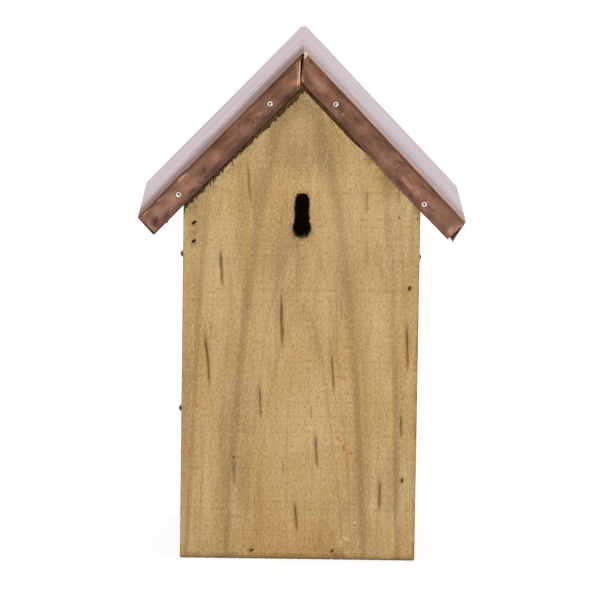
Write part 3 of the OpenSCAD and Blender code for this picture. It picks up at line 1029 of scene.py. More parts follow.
        shaken = recipe.shaken(sheet, 190.0, 0.0011, (0.7, 1.0, 1.0))
        rear = back * flange
        mottled = (recipe.fade(rubbed, 0.36, 0.60, 0.4) + 0.75) * rear
        olive = recipe.ovals(shaken, self.olives, 0.2) * rear
        curve = run * 1000.0 + (abs(deep * 1000.0 - 6.0) - 6.0) * 0.2 + (cloud - 0.5) * 1.2
        rubbed_side = recipe.fade(curve, 91.8, 92.7) * left * rear
        lower = recipe.fade(deep * 1000.0 + (blotch - 0.5) * 9.0, 8.8, 12.0)
        # Painted highlights, partly brighter copper: the glow ovals lighten the flanges, and less metal
        # there keeps them bright.
        glow = recipe.ovals(shaken, self.glow_highlights, 0.2) * mottled
        stain = recipe.ovals(shaken, self.stains, 0.0) * mottled
        pale = recipe.ovals(shaken, self.pales, 0.2) * mottled
        rims = recipe.ovals(sheet, self.nail_rims, 0.55) * rear

        dim = left * back
        bend = deep * 1000.0
        # Painted highlight along the folds: bright on the right, softer on the left and patchy, with a
        # painted shadow line on the left past 92 mm down the slope.
        fold = recipe.fade(bend, 0.65, 0.25) * recipe.fade(bend, -0.45, -0.2)
        worn = recipe.fade(recipe.clouds(sheet, (120, 10, 10), detail=3), 0.34, 0.6)
        shaded = recipe.fade(run, 0.0905, 0.0925, 0.75) * dim
        folded = recipe.mix(shaded, recipe.mix(dim, self.bright, self.left_fold), self.fold_shadow)
        # Painted shadow: a near-black line at the left back corner, for the gap between the end flange and
        # the eave flange.
        end_gap_shade = recipe.fade(run, 0.1286, 0.1289) * recipe.fade(y, -0.0715, -0.0723) * left
        sheen = recipe.ovals(sheet, self.sheens, 0.4) * back
        # Painted shade: faces that turn away from the slope, the sheet's underside and lower cut edges, are
        # painted dark.
        nx, _, nz = recipe.split(recipe.facing)
        rim = recipe.fade(nx * side * math.sin(self.pitch) + nz * math.cos(self.pitch), -0.35, -0.75)

        # Painted reflection: the slopes' pale satin and duller streaks stand for the white background
        # mirrored at a grazing angle, with painted shade near the back fold; less metal on the slopes lets
        # this colour show.
        soft = recipe.clouds(sheet, (16, 46, 10), detail=3, rough=0.55)
        streak = recipe.clouds(sheet, (30, 130, 10), detail=3, rough=0.6)
        veil = recipe.fade(soft + (streak - 0.5) * 0.5, 0.40, 0.64)
        near = recipe.fade(y + (soft - 0.5) * 0.06, -0.014, -0.070) * (left * 0.4 + 0.6)
        slope = recipe.mix(veil * (back * 0.45 + 0.35) * (left * 0.4 + 0.6), self.satin_reflection, self.dull)
        slope = recipe.mix(near * 0.9, slope, self.near_back_shade)
        sheet_top = recipe.fade(deep, -0.0002, -0.00045).most(1.0 - flange)

        layers = (
            (recipe.fade(blotch, 0.50, 0.72, 0.7), self.rosy),
            (recipe.fade(blotch, 0.48, 0.34, 0.5), self.dark),
            (recipe.fade(rubbed, 0.52, 0.66, 0.30), self.rosy),
            (recipe.fade(rubbed, 0.47, 0.34, 0.32), self.dark),
            (olive, self.oiled),
            (rubbed_side * 0.36, self.rosy),
            (lower * (left * 0.28 + 0.52), self.dark),
            (glow, self.highlight_glow),
            (stain, self.stained),
            (pale, self.paled),
            (rims, self.nail_shadow),
            (recipe.fade(grain, 0.54, 0.80, 0.30), self.dark),
            (recipe.fade(grain, 0.46, 0.24, 0.22), self.rosy),
            (fold * (worn * 0.4 + 0.47), folded),
            (end_gap_shade * 0.9, self.cut),
            (sheen, self.shining),
            (rim * 0.85, self.underside_shade),
            (sheet_top, slope),
        )
        colour = recipe.mix(recipe.fade(cloud, 0.38, 0.62), self.brown, self.clean)
        colour = recipe.covered(colour, layers)

        on_slope = (1.0 - flange) * (near * 0.75 + 0.10)
        metal = 1.0 - (stain * 0.3 + glow * 0.25 + sheen * 0.5 + 0.08) * flange - on_slope
        rough = 0.32 + (cloud - 0.5) * 0.16 + flange * (stain * 0.12 + lower * 0.06) + (soft - 0.5) * 0.1
        height = ((rolled - 0.5) * 0.012 + (rubbed - 0.5) * 0.02 + (grain - 0.5) * 0.006) * flange
        edge = {"Specular Tint": (0.72, 0.86, 1.0, 1.0), "Specular IOR Level": 0.0}
        return recipe.finish(colour, rough, height, metallic=metal, settings=edge)


@dataclass(frozen=True)
class Steel:
    """Nail, brad or pin steel with fine scratches and spots of rust.

    Attributes:
        name: The material's name.
        bare: The colour of the bare metal.
        rust: The colour of its spots.
        rusted: The share of rust, from 0 to 1.
        rough: The roughness of the bare metal.
        dents: Where a painted dark reflection lies in the heads' middles, as places in x and z.
        dark_reflection_tone: The colour of this painted reflection.
    """

    name: str
    bare: Colour
    rust: Colour
    rusted: float
    rough: float
    dents: tuple[Oval, ...] = ()
    dark_reflection_tone: Colour = tone(34, 28, 26)

    def material(self) -> bpy.types.Material:
        """The finished material."""
        recipe = Recipe(self.name)
        spots = recipe.noise(recipe.place, 900.0, detail=4, rough=0.65)
        lines = recipe.clouds(recipe.place, (5000, 5000, 900), detail=2)
        rusty = recipe.fade(spots, 0.74 - 0.42 * self.rusted, 0.86 - 0.30 * self.rusted)
        colour = recipe.mix(recipe.fade(lines, 0.4, 0.7, 0.25), self.bare, self.rust)
        colour = recipe.mix(rusty, colour, self.rust)
        # Painted reflection: dark marks on the back nails' heads stand for the dark room mirrored in their
        # middles.
        if self.dents:
            back = recipe.fade(recipe.split(recipe.place)[1], 0.0, -0.03)
            dark_reflection = recipe.ovals(recipe.place, self.dents, 0.45) * back
            colour = recipe.mix(dark_reflection, colour, self.dark_reflection_tone)
        rough = self.rough + rusty * 0.35 + (lines - 0.5) * 0.10
        height = (lines - 0.5) * 0.004 + rusty * (spots - 0.5) * 0.05
        return recipe.finish(colour, rough, height, metallic=1.0)


# Mesh tools


def grid_faces(
    rows: int, columns: int, closed: bool = False, kept: Optional[np.ndarray] = None
) -> np.ndarray:
    """The four-sided faces between neighbouring points of a grid that is stored row by row.

    Args:
        rows: Points down the grid.
        columns: Points across the grid.
        closed: Whether the last column joins the first.
        kept: For each cell, whether it has a face.

    Returns:
        The corner numbers of each face.
    """
    across = columns if closed else columns - 1
    row, column = np.meshgrid(np.arange(rows - 1), np.arange(across), indexing="ij")
    beside = (column + 1) % columns
    corners = [row * columns + column, row * columns + beside, (row + 1) * columns + beside]
    corners.append((row + 1) * columns + column)
    faces = np.stack(corners, axis=-1)
    return faces[kept] if kept is not None else faces.reshape(-1, 4)


def ripple(where: np.ndarray, seed: int, waves: Sequence[float], sizes: Sequence[float]) -> np.ndarray:
    """An uneven line: a sum of sines with these wavelengths and heights, and seeded phases.

    Args:
        where: The distance along the line.
        seed: Picks the phases.
        waves: The wavelengths.
        sizes: Their heights.

    Returns:
        The height at each distance.
    """
    phases = np.random.default_rng(seed).uniform(0.0, 2 * np.pi, len(waves))
    turns = 2 * np.pi * where[..., None] / np.array(waves) + phases
    return (np.sin(turns) * np.array(sizes)).sum(-1)


def smooth(value: np.ndarray, start: float, end: float) -> np.ndarray:
    """A smooth change from 0 at start to 1 at end: three times the square less twice the cube."""
    part = np.clip((value - start) / (end - start), 0.0, 1.0)
    return part * part * (3.0 - 2.0 * part)


def new_piece(
    name: str,
    points: np.ndarray,
    faces: Sequence[Sequence[int]],
    flat_from: Optional[int] = None,
    sharp: float = 35.0,
    turned: bool = True,
) -> bpy.types.Object:
    """Makes an object at the origin from points in millimetres.

    Args:
        name: The piece's name.
        points: Its points, three numbers each.
        faces: The corner numbers of its faces.
        flat_from: The number of the first face that stays flat, or None for none.
        sharp: The angle in degrees past which an edge stays sharp.
        turned: Whether the faces are turned outwards here.

    Returns:
        The object.
    """
    mesh = bpy.data.meshes.new(name)
    mesh.from_pydata((np.asarray(points, float) * MM).tolist(), [], [list(face) for face in faces])
    smooth_face = np.ones(len(mesh.polygons), bool)
    if flat_from is not None:
        smooth_face[flat_from:] = False
    mesh.polygons.foreach_set("use_smooth", smooth_face)
    if turned:
        shape = bmesh.new()
        shape.from_mesh(mesh)
        bmesh.ops.recalc_face_normals(shape, faces=shape.faces)
        shape.to_mesh(mesh)
        shape.free()
    mesh.set_sharp_from_angle(angle=math.radians(sharp))
    mesh.validate()
    made = bpy.data.objects.new(name, mesh)
    bpy.context.scene.collection.objects.link(made)
    return made


def sharpen_cuts(mesh: bpy.types.Mesh) -> None:
    """Marks the open edges of a sheet as sharp, so that its cut edges stay crisp once it is thick."""
    used = np.empty(len(mesh.loops), np.int32)
    mesh.loops.foreach_get("edge_index", used)
    sharp = np.empty(len(mesh.edges), bool)
    mesh.edges.foreach_get("use_edge_sharp", sharp)
    sharp |= np.bincount(used, minlength=len(sharp)) == 1
    mesh.edges.foreach_set("use_edge_sharp", sharp)


def dress(
    piece: bpy.types.Object,
    finish: bpy.types.Material,
    body: Body,
    replaced: Sequence[str] = (),
) -> bpy.types.Object:
    """Gives a new piece its finish, the body that it rides on and the nodes it replaces.

    Args:
        piece: The new object.
        finish: Its material.
        body: The body that it moves with.
        replaced: The nodes that it stands for.

    Returns:
        The same object.
    """
    piece.data.materials.clear()
    piece.data.materials.append(finish)
    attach(piece, body.value)
    if replaced:
        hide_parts(*replaced)
    log.info("%s: %d points, rides on %s", piece.name, len(piece.data.vertices), body.value)
    return piece


@dataclass(frozen=True)
class GableLines:
    """The lines that boards and copper follow, as in the solids.

    Attributes:
        half_w: Half the width of the body.
        board: The thickness of the body's boards.
        roof_board: The thickness of the roof's boards.
        shoulder: The height where the slopes begin.
        back: Where the back board's face lies.
        front: Where the roof boards end at the front.
        pitch: The roof's slope.
        overhang: How far the roof reaches past the walls, down the slope.
        sheet: The copper's thickness.
    """

    half_w: float = 65.0
    board: float = 15.0
    roof_board: float = 13.0
    shoulder: float = 196.9
    back: float = -73.0
    front: float = 73.0
    pitch: float = math.radians(46.0)
    overhang: float = 22.0
    sheet: float = 0.5

    @property
    def under_ridge(self) -> float:
        """The height of the line where the roof boards' undersides meet."""
        return self.shoulder + self.half_w * math.tan(self.pitch)

    @property
    def ridge(self) -> float:
        """The height of the line where the roof boards' tops meet."""
        return self.under_ridge + self.roof_board / math.cos(self.pitch)

    @property
    def run(self) -> float:
        """The length of a roof board's top down the slope."""
        return self.half_w / math.cos(self.pitch) + self.overhang + self.roof_board * math.tan(self.pitch)

    def on_slope(self, run: Any, deep: Any) -> np.ndarray:
        """The x and z of places on the right slope: down it by run, and into the board by deep."""
        x = run * math.cos(self.pitch) - deep * math.sin(self.pitch)
        z = self.ridge - run * math.sin(self.pitch) - deep * math.cos(self.pitch)
        return np.stack(np.broadcast_arrays(x, z), axis=-1)


def polygon_loop(corners: np.ndarray, radius: float, steps: int) -> np.ndarray:
    """A closed outline with rounded corners, as evenly divided straights and small arcs.

    Each corner is the curve that starts and ends at the corner's radius along its two edges and is
    pulled to the corner: the start weighted by (1-t) squared, the corner by 2t(1-t), the end by t
    squared.

    Args:
        corners: The corners, anticlockwise.
        radius: How far from a corner its curve starts.
        steps: Points on each straight.

    Returns:
        The outline's points.
    """
    ahead = np.roll(corners, -1, axis=0) - corners
    ahead /= np.linalg.norm(ahead, axis=1, keepdims=True)
    behind = np.roll(ahead, 1, axis=0)
    start = corners - behind * radius
    end = corners + ahead * radius
    t = np.linspace(0.0, 1.0, 6)[None, :, None]
    curve = (1 - t) ** 2 * start[:, None] + 2 * t * (1 - t) * corners[:, None] + t**2 * end[:, None]
    following = np.roll(start, -1, axis=0)
    u = np.linspace(0.0, 1.0, steps + 2)[1:-1][None, :, None]
    straight = end[:, None] * (1 - u) + following[:, None] * u
    return np.concatenate([curve, straight], axis=1).reshape(-1, 2)


def mitres(loop: np.ndarray) -> np.ndarray:
    """The way out of the material at each point of a closed outline.

    The sum of the neighbouring edges' outward normals, divided by one plus their dot product, so
    that an offset along it keeps both edges parallel.
    """
    ahead = np.roll(loop, -1, axis=0) - loop
    ahead /= np.linalg.norm(ahead, axis=1, keepdims=True)
    normal = np.stack([ahead[:, 1], -ahead[:, 0]], axis=1)
    before = np.roll(normal, 1, axis=0)
    return (normal + before) / (1.0 + (normal * before).sum(axis=1, keepdims=True))


@dataclass
class Plank:
    """A board as a closed skin: an outline with openings and sunk marks, and rounded arrises.

    Attributes:
        name: The piece's name.
        outline: The outer outline in x and z, anticlockwise.
        low: The y where the board starts.
        high: The y where it ends.
        arris: The radius of its rounded edges.
        openings: Outlines of holes right through, clockwise.
        marks: Outlines of sunk marks in the low face, clockwise.
        mark_depth: The marks' depth.
        steps: Flats on each rounded edge.
    """

    name: str
    outline: np.ndarray
    low: float
    high: float
    arris: float = 0.6
    openings: Sequence[np.ndarray] = ()
    marks: Sequence[np.ndarray] = ()
    mark_depth: float = 1.85
    steps: int = 3
    _points: list = field(default_factory=list)
    _walls: list = field(default_factory=list)
    _count: int = 0

    def carry(self, loop: np.ndarray, inset: np.ndarray, deep: np.ndarray) -> tuple[range, range]:
        """Carries an edge profile round an outline.

        The point at step i of the outline and step j of the profile is the outline's point, moved
        inwards along the mitre by the profile's inset, at the profile's depth.

        Args:
            loop: The outline.
            inset: How far each step of the profile lies inside the outline.
            deep: How deep each step lies.

        Returns:
            The numbers of the first and of the last row's points.
        """
        flat = loop[None] - mitres(loop)[None] * inset[:, None, None]
        y = np.broadcast_to(deep[:, None], flat.shape[:-1])
        points = np.stack([flat[..., 0], y, flat[..., 1]], axis=-1)
        rows, columns = points.shape[:2]
        self._points.append(points.reshape(-1, 3))
        self._walls.append(grid_faces(rows, columns, closed=True) + self._count)
        first = range(self._count, self._count + columns)
        last = range(self._count + (rows - 1) * columns, self._count + rows * columns)
        self._count += rows * columns
        return first, last

    def cap(self, rows: Sequence[range]) -> list[tuple[int, ...]]:
        """Triangles that fill the face between closed rows of points.

        Args:
            rows: The numbers of the points of each row: the outer one and the holes.

        Returns:
            The triangles' corner numbers.
        """
        every = np.concatenate(self._points)
        numbers = np.concatenate([np.array(row) for row in rows])
        loops = [[Vector(point) for point in every[row.start : row.stop]] for row in rows]
        return [tuple(int(numbers[corner]) for corner in face) for face in tessellate_polygon(loops)]

    def build(self) -> bpy.types.Object:
        """The board as an object: rounded walls round every outline, and two flat faces.

        Returns:
            The object.
        """
        turn = np.linspace(0.0, np.pi / 2, self.steps + 1)
        inset = self.arris * (1 - np.sin(turn))
        deep = self.arris * (1 - np.cos(turn))
        inset = np.concatenate([inset, inset[::-1]])
        deep = np.concatenate([self.low + deep, self.high - deep[::-1]])
        near, far = [], []
        for loop in (self.outline, *self.openings):
            first, last = self.carry(loop, inset, deep)
            near.append(first)
            far.append(last)
        floors = []
        for loop in self.marks:
            first, last = self.carry(loop, np.array([0.2, 0.05, 0.0, 0.0]),
                                     self.low + np.array([0.0, 0.06, 0.25, self.mark_depth]))
            near.append(first)
            floors.append(last)
        walls = np.concatenate(self._walls).tolist()
        caps = self.cap(near) + self.cap(far)
        for row in floors:
            caps += self.cap([row])
        return new_piece(self.name, np.concatenate(self._points), walls + caps, flat_from=len(walls))


def worn_copy(node: str, name: str, wear: float, shortest: float) -> bpy.types.Object:
    """A copy of a board of the frame, merged, with its long sharp edges rounded a little.

    The rounding is held inside the node's box, the broad faces stay flat, and the normals that came
    with the node are dropped, as they belong to its unrounded edges.

    Args:
        node: The frame's node.
        name: The copy's name.
        wear: The width of the rounding, in millimetres.
        shortest: The shortest edge that is rounded, in millimetres.

    Returns:
        The copy.
    """
    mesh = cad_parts[node].data.copy()
    mesh.name = name
    shape = bmesh.new()
    shape.from_mesh(mesh)
    bmesh.ops.remove_doubles(shape, verts=shape.verts, dist=MERGED_M)
    level = math.radians(LEVEL_DEG)
    bmesh.ops.dissolve_limit(shape, angle_limit=level, verts=shape.verts, edges=shape.edges)
    weight = shape.edges.layers.float.new("bevel_weight_edge")
    for edge in shape.edges:
        bent = len(edge.link_faces) == 2 and edge.calc_face_angle(0.0) > math.radians(BENT_DEG)
        if bent and edge.calc_length() > shortest * MM:
            edge[weight] = 1.0
    shape.to_mesh(mesh)
    shape.free()
    if "custom_normal" in mesh.attributes:
        mesh.attributes.remove(mesh.attributes["custom_normal"])
    made = bpy.data.objects.new(name, mesh)
    bpy.context.scene.collection.objects.link(made)
    bevel = made.modifiers.new("worn_edges", "BEVEL")
    bevel.limit_method = "WEIGHT"
    bevel.width = wear * MM
    bevel.segments = ROUND_STEPS
    bevel.use_clamp_overlap = True
    worn = bpy.data.meshes.new_from_object(made.evaluated_get(bpy.context.evaluated_depsgraph_get()))
    made.modifiers.clear()
    made.data = worn
    place = np.empty(len(worn.vertices) * 3)
    worn.vertices.foreach_get("co", place)
    low, high = (np.array(corner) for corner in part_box(node))
    worn.vertices.foreach_set("co", np.clip(place.reshape(-1, 3), low, high).ravel())
    area = np.empty(len(worn.polygons))
    worn.polygons.foreach_get("area", area)
    worn.polygons.foreach_set("use_smooth", area < SMALL_FACE_MM2 * MM * MM)
    worn.update()
    return made


def turned_piece(name: str, profile: np.ndarray, centres: np.ndarray, axis: Vector) -> bpy.types.Object:
    """Surfaces of revolution: one profile turned round an axis, at each of several places.

    The point at step i of the profile and angle a is the place, plus the profile's radius times
    the two square directions weighted by the cosine and sine of a, plus its height along the axis.

    Args:
        name: The piece's name.
        profile: Radius and height of each step, from pole to pole.
        centres: The places.
        axis: The way that the heights run.

    Returns:
        One object with all of them.
    """
    way = axis.normalized()
    first = way.orthogonal().normalized()
    second = way.cross(first)
    angle = np.linspace(0.0, 2 * np.pi, TURNED_STEPS, endpoint=False)
    ring = np.cos(angle)[:, None] * np.array(first) + np.sin(angle)[:, None] * np.array(second)
    body = profile[:, 0, None, None] * ring[None] + profile[:, 1, None, None] * np.array(way)
    rows, columns = body.shape[:2]
    points = (centres[:, None, None, :] + body[None]).reshape(-1, 3)
    walls = grid_faces(rows, columns, closed=True)
    ends = [list(range(columns)), list(range((rows - 1) * columns, rows * columns))]
    faces: list[list[int]] = []
    for number in range(len(centres)):
        start = number * rows * columns
        faces += (walls + start).tolist()
        faces += [[corner + start for corner in end] for end in ends]
    return new_piece(name, points, faces, sharp=50.0)


# Sub-assemblies


@dataclass
class BackBoard:
    """The back board with its torn hanging slot, its brads' sunk marks and its split fibres.

    Attributes:
        lines: The lines of the gable.
        slot_low: The middle of the slot's lower end.
        slot_top: The middle of its upper end.
        slot_low_r: The radius of its lower end.
        slot_top_r: The radius of its upper end.
        mark: Half length and half height of a brad's mark.
        mark_places: For each mark its x, its height and how far it rises to the right, in degrees.
    """

    lines: GableLines
    slot_low: float = 185.1
    slot_top: float = 200.8
    slot_low_r: float = 4.8
    slot_top_r: float = 3.8
    mark: tuple[float, float] = (1.35, 0.75)
    mark_places: tuple[tuple[float, float, float], ...] = (
        (-59.1, 187.7, 42.0),
        (-59.1, 177.4, 42.0),
        (60.0, 152.8, 95.0),
        (57.4, 45.1, 80.0),
        (-25.4, 4.7, 20.0),
        (19.2, 4.9, 42.0),
    )

    def outer(self) -> np.ndarray:
        """The gabled outline, with the upper edges torn a little where the saw ran out."""
        g = self.lines
        w, shoulder = g.half_w, g.shoulder
        corners = np.array([[-w, 0], [w, 0], [w, shoulder], [0, g.under_ridge], [-w, shoulder]])
        loop = polygon_loop(corners, 0.8, 150)
        way = mitres(loop)
        place = np.arange(len(loop)) * 0.8
        slope = smooth(loop[:, 1], g.shoulder + 1.5, g.shoulder + 4.0) * smooth(abs(loop[:, 0]), 1.0, 4.0)
        tear = np.clip(ripple(place, 3, (2.1, 3.4, 7.9, 17.0), (0.2, 0.25, 0.25, 0.2)), 0.0, 0.8)
        foot = smooth(loop[:, 1], 1.0, 0.2) * np.clip(ripple(place, 5, (2.7, 6.1), (0.08, 0.08)), 0, 0.2)
        return loop - way * (slope * tear * 0.7 + foot)[:, None]

    def slot(self) -> np.ndarray:
        """The slot's outline, clockwise: two round ends and straight sides, with small tears."""
        join = math.asin(self.slot_top_r / self.slot_low_r)
        over = np.linspace(np.pi, 0.0, 40)
        under = np.linspace(np.pi / 2 - join, -1.5 * np.pi + join, 60)
        top = self.slot_top_r * np.stack([np.cos(over), np.sin(over)], 1) + (0, self.slot_top)
        low = self.slot_low_r * np.stack([np.cos(under), np.sin(under)], 1) + (0, self.slot_low)
        side = np.linspace(0, 1, 16)[1:-1, None]
        right = top[-1] * (1 - side) + low[0] * side
        left = low[-1] * (1 - side) + top[0] * side
        loop = np.concatenate([top, right, low, left])
        place = np.arange(len(loop)) * 0.5
        tear = np.clip(ripple(place, 8, (1.3, 2.2, 4.7), (0.14, 0.14, 0.12)), -0.1, 0.45)
        return loop + mitres(loop) * tear[:, None]

    def mark_loops(self) -> list[np.ndarray]:
        """The brads' marks, clockwise: ovals with squarish ends, each turned by its own angle."""
        angle = np.linspace(2 * np.pi, 0.0, 20, endpoint=False)
        flat = np.stack(
            [
                self.mark[0] * np.sign(np.cos(angle)) * abs(np.cos(angle)) ** 0.7,
                self.mark[1] * np.sign(np.sin(angle)) * abs(np.sin(angle)) ** 0.7,
            ],
            axis=1,
        )
        loops = []
        for x, z, turn in self.mark_places:
            c, s = math.cos(math.radians(turn)), math.sin(math.radians(turn))
            loops.append(flat @ np.array([[c, s], [-s, c]]) + np.array([x, z]))
        return loops

    def build(self, finish: bpy.types.Material) -> bpy.types.Object:
        """The board, dressed.

        Args:
            finish: The marked pine.

        Returns:
            The piece.
        """
        g = self.lines
        plank = Plank(
            "back_board_pine", self.outer(), g.back, g.back + g.board, arris=0.55,
            openings=[self.slot()], marks=self.mark_loops(),
        )
        return dress(plank.build(), finish, Body.BOX, ["back_board"])


@dataclass
class RoofBoards:
    """The two roof boards, whose rough ends show as a strip under the end flanges."""

    lines: GableLines
    gap: float = 0.15
    planed: float = 2.4

    def outline(self, side: Side) -> np.ndarray:
        """A board's section across the roof, anticlockwise."""
        g = self.lines
        at_plane = g.on_slope(np.array(self.planed / math.sin(g.pitch)), np.array(0.0))
        corners = np.array(
            [
                [self.gap, g.under_ridge + self.gap * -math.tan(g.pitch)],
                g.on_slope(g.run, g.roof_board),
                g.on_slope(g.run, 0.0),
                at_plane,
                [self.gap, at_plane[1]],
            ]
        )
        loop = polygon_loop(corners, 0.5, 110)
        return loop if side is Side.RIGHT else (loop * np.array([-1.0, 1.0]))[::-1]

    def build(self, side: Side, finish: bpy.types.Material) -> bpy.types.Object:
        """One board, dressed.

        Args:
            side: Which slope it is on.
            finish: The stained pine.

        Returns:
            The piece.
        """
        g = self.lines
        name = side.name.lower()
        plank = Plank(f"roof_pine_{name}", self.outline(side), g.back, g.front, arris=0.4)
        return dress(plank.build(), finish, Body.BOX, [f"roof_board_{name}"])


@dataclass
class CopperRoof:
    """The folded copper sheet with its flanges, folds, slits and dents.

    Attributes:
        lines: The lines of the gable.
        ridge_r: The outer radius of the fold along the ridge.
        fold_r: The outer radius of the other folds.
        drop_left: How far the left end flange drops from the sheet's outer face at the back.
        drops_right: The same on the right: runs down the slope and the drops there.
        drop_plain: How far the flanges at the front and the eaves drop.
        slit: The x of the slit's left and right edge at the top and at the bottom.
        flare: How far the right eave flange stands out at its back end.
    """

    lines: GableLines
    ridge_r: float = 3.0
    fold_r: float = 0.9
    drop_left: float = 13.3
    drops_right: tuple[tuple[float, ...], tuple[float, ...]] = (
        (10.0, 45.0, 48.0, 54.0, 66.0, 76.0, 104.0, 128.0),
        (12.9, 12.95, 13.2, 13.45, 13.8, 14.3, 14.6, 14.2),
    )
    drop_plain: float = 13.2
    slit: tuple[float, float, float, float] = (-2.7, -0.4, -2.7, -1.4)
    flare: float = 3.0

    @property
    def arc(self) -> float:
        """The length of half the ridge's fold."""
        return self.ridge_r * self.lines.pitch

    @property
    def arc_run(self) -> float:
        """How far down the slope the ridge's fold ends."""
        g = self.lines
        return (self.ridge_r - g.sheet) * math.tan(g.pitch)

    @property
    def slope(self) -> float:
        """The length of the flat slope between its folds."""
        g = self.lines
        return g.run + g.sheet - self.fold_r - self.arc_run

    def profile(self, length: np.ndarray) -> tuple[np.ndarray, np.ndarray, np.ndarray]:
        """The sheet's outer line across the roof, by its length from the ridge's middle.

        An arc about the ridge, a straight slope, a quarter arc at the eave and a straight flange,
        each starting where the one before it ends and in its direction.

        Args:
            length: The signed length; negative on the left.

        Returns:
            The line's points, the ways inwards, and the length along the eave flange.
        """
        g = self.lines
        far = abs(length)
        fold_end = self.arc + self.slope + self.fold_r * np.pi / 2
        first = np.clip(far, 0, self.arc) / self.ridge_r
        second = np.clip(far - self.arc - self.slope, 0, self.fold_r * np.pi / 2) / self.fold_r
        straight = np.clip(far - self.arc, 0, self.slope)
        down = np.clip(far - fold_end, 0, None)
        angle = g.pitch + second
        top = g.ridge + (g.sheet - self.ridge_r) / math.cos(g.pitch)
        x = self.ridge_r * np.sin(first) + straight * math.cos(g.pitch)
        x = x + self.fold_r * (np.sin(angle) - math.sin(g.pitch)) - down * math.sin(g.pitch)
        z = top + self.ridge_r * np.cos(first) - straight * math.sin(g.pitch)
        z = z + self.fold_r * (np.cos(angle) - math.cos(g.pitch)) - down * math.cos(g.pitch)
        turn = first + second
        sign = np.where(length < 0, -1.0, 1.0)
        points = np.stack([sign * x, z], axis=-1)
        inward = np.stack([-sign * np.sin(turn), -np.cos(turn)], axis=-1)
        return points, inward, down

    def columns(self) -> np.ndarray:
        """The lengths across the roof at which the sheet is divided, both sides alike."""
        half = self.fold_r * np.pi / 2
        lengths = np.concatenate(
            [
                np.linspace(0, self.arc, 9)[:-1],
                self.arc + np.linspace(0, 12.0, 14)[:-1],
                self.arc + np.linspace(12.0, self.slope - 6, 74)[:-1],
                self.arc + np.linspace(self.slope - 6, self.slope, 8)[:-1],
                self.arc + self.slope + np.linspace(0, half, 6)[:-1],
                self.arc + self.slope + half + np.linspace(0, self.drop_plain - self.fold_r, 12),
            ]
        )
        edges = np.array([-0.45])
        both = np.concatenate([-lengths[:0:-1], lengths, edges])
        return np.unique(np.round(both, 6))

    def rows(self) -> tuple[np.ndarray, np.ndarray, np.ndarray]:
        """The sheet's divisions from the back flange's lower edge to the front one's.

        Returns:
            For each row its y, its drop within the fold, and its share of the flange's depth.
        """
        g = self.lines
        turn = np.linspace(np.pi / 2, 0.0, 7)
        flange = np.linspace(1.0, 0.0, 15)[:-1]
        end = abs(g.back) + g.sheet
        y_fold = end - self.fold_r * (1 - np.sin(turn))
        drop_fold = self.fold_r * (1 - np.cos(turn))
        middle = np.linspace(-(end - self.fold_r), end - self.fold_r, 64)[1:-1]
        near = np.concatenate([np.full(len(flange), end), y_fold])
        y = np.concatenate([-near, middle, near[::-1]])
        drop = np.concatenate([np.full(len(flange), self.fold_r), drop_fold])
        drops = np.concatenate([drop, np.zeros(len(middle)), drop[::-1]])
        share = np.concatenate([flange, np.zeros(len(turn))])
        shares = np.concatenate([share, np.zeros(len(middle)), share[::-1]])
        return y, drops, shares

    def depth(self, run: np.ndarray, part: np.ndarray, y: np.ndarray) -> np.ndarray:
        """How deep the end flange's lower edge lies, with its waves and one burr on the left.

        Args:
            run: The place down the slope.
            part: -1 on the left part of the sheet, 1 on the right.
            y: The row's y.

        Returns:
            The drop of the lower edge.
        """
        back = np.where(part < 0, self.drop_left, np.interp(run, *self.drops_right))
        wave = ripple(run, 11, (61.0, 23.0, 7.0), (0.06, 0.05, 0.04))
        burr = 0.8 * np.exp(-(((run - 119.7) / 0.6) ** 2)) * (part < 0)
        return np.where(y < 0, back + wave + burr, self.drop_plain + 0.6 * wave)

    def surface(self) -> tuple[np.ndarray, np.ndarray]:
        """The outer surface and which of its cells are metal.

        On the slopes a point is the profile's point at its row's y. In a fold it also drops along
        the way inwards. On an end flange it drops on, and near the ridge it slides down the slope
        so that the first column follows the slit. Bulges and dents are added last.

        Returns:
            The points, row by row, and for each cell whether it is kept.
        """
        g = self.lines
        length = self.columns()
        y, fold_drop, share = self.rows()
        outer, inward, down = self.profile(length)
        part = np.where(length >= -0.46, 1.0, -1.0)
        own = length * part
        run = own - self.arc + self.arc_run
        end = abs(g.back) + g.sheet
        fold_end = self.arc + self.slope + self.fold_r * np.pi / 2

        yy = np.broadcast_to(y[:, None], (len(y), len(length))).copy()
        lowest = self.depth(run[None], part[None], yy)
        drop = fold_drop[:, None] + share[:, None] * (lowest - self.fold_r)
        flat = outer[None] + inward[None] * drop[..., None]

        deep = drop - g.sheet
        share_down = np.clip(deep / 12.5, 0, 1)
        edge_right = self.slit[1] + (self.slit[3] - self.slit[1]) * share_down
        edge_left = self.slit[0] + (self.slit[2] - self.slit[0]) * share_down
        edge = np.where(part[None] > 0, edge_right, -edge_left)
        edge_run = (edge + deep * math.sin(g.pitch)) / math.cos(g.pitch)
        first_run = np.where(part > 0, run[part > 0].min(), run[(part < 0) & (own > 2.8)].min())[None]
        slide = np.clip(1 - (run[None] - first_run) / 30.0, 0, 1)
        moved = run[None] + (edge_run - first_run) * slide
        last = g.run + g.sheet - self.fold_r
        moved = moved + (self.fold_r - 0.1) * smooth(run[None], last - 5.0, last)
        straight = g.on_slope(moved, deep)
        straight[..., 0] *= part[None]
        weight = smooth(drop, self.fold_r, self.fold_r + 2.2)[..., None] * (share > 0)[:, None, None]
        flat = flat * (1 - weight) + straight * weight

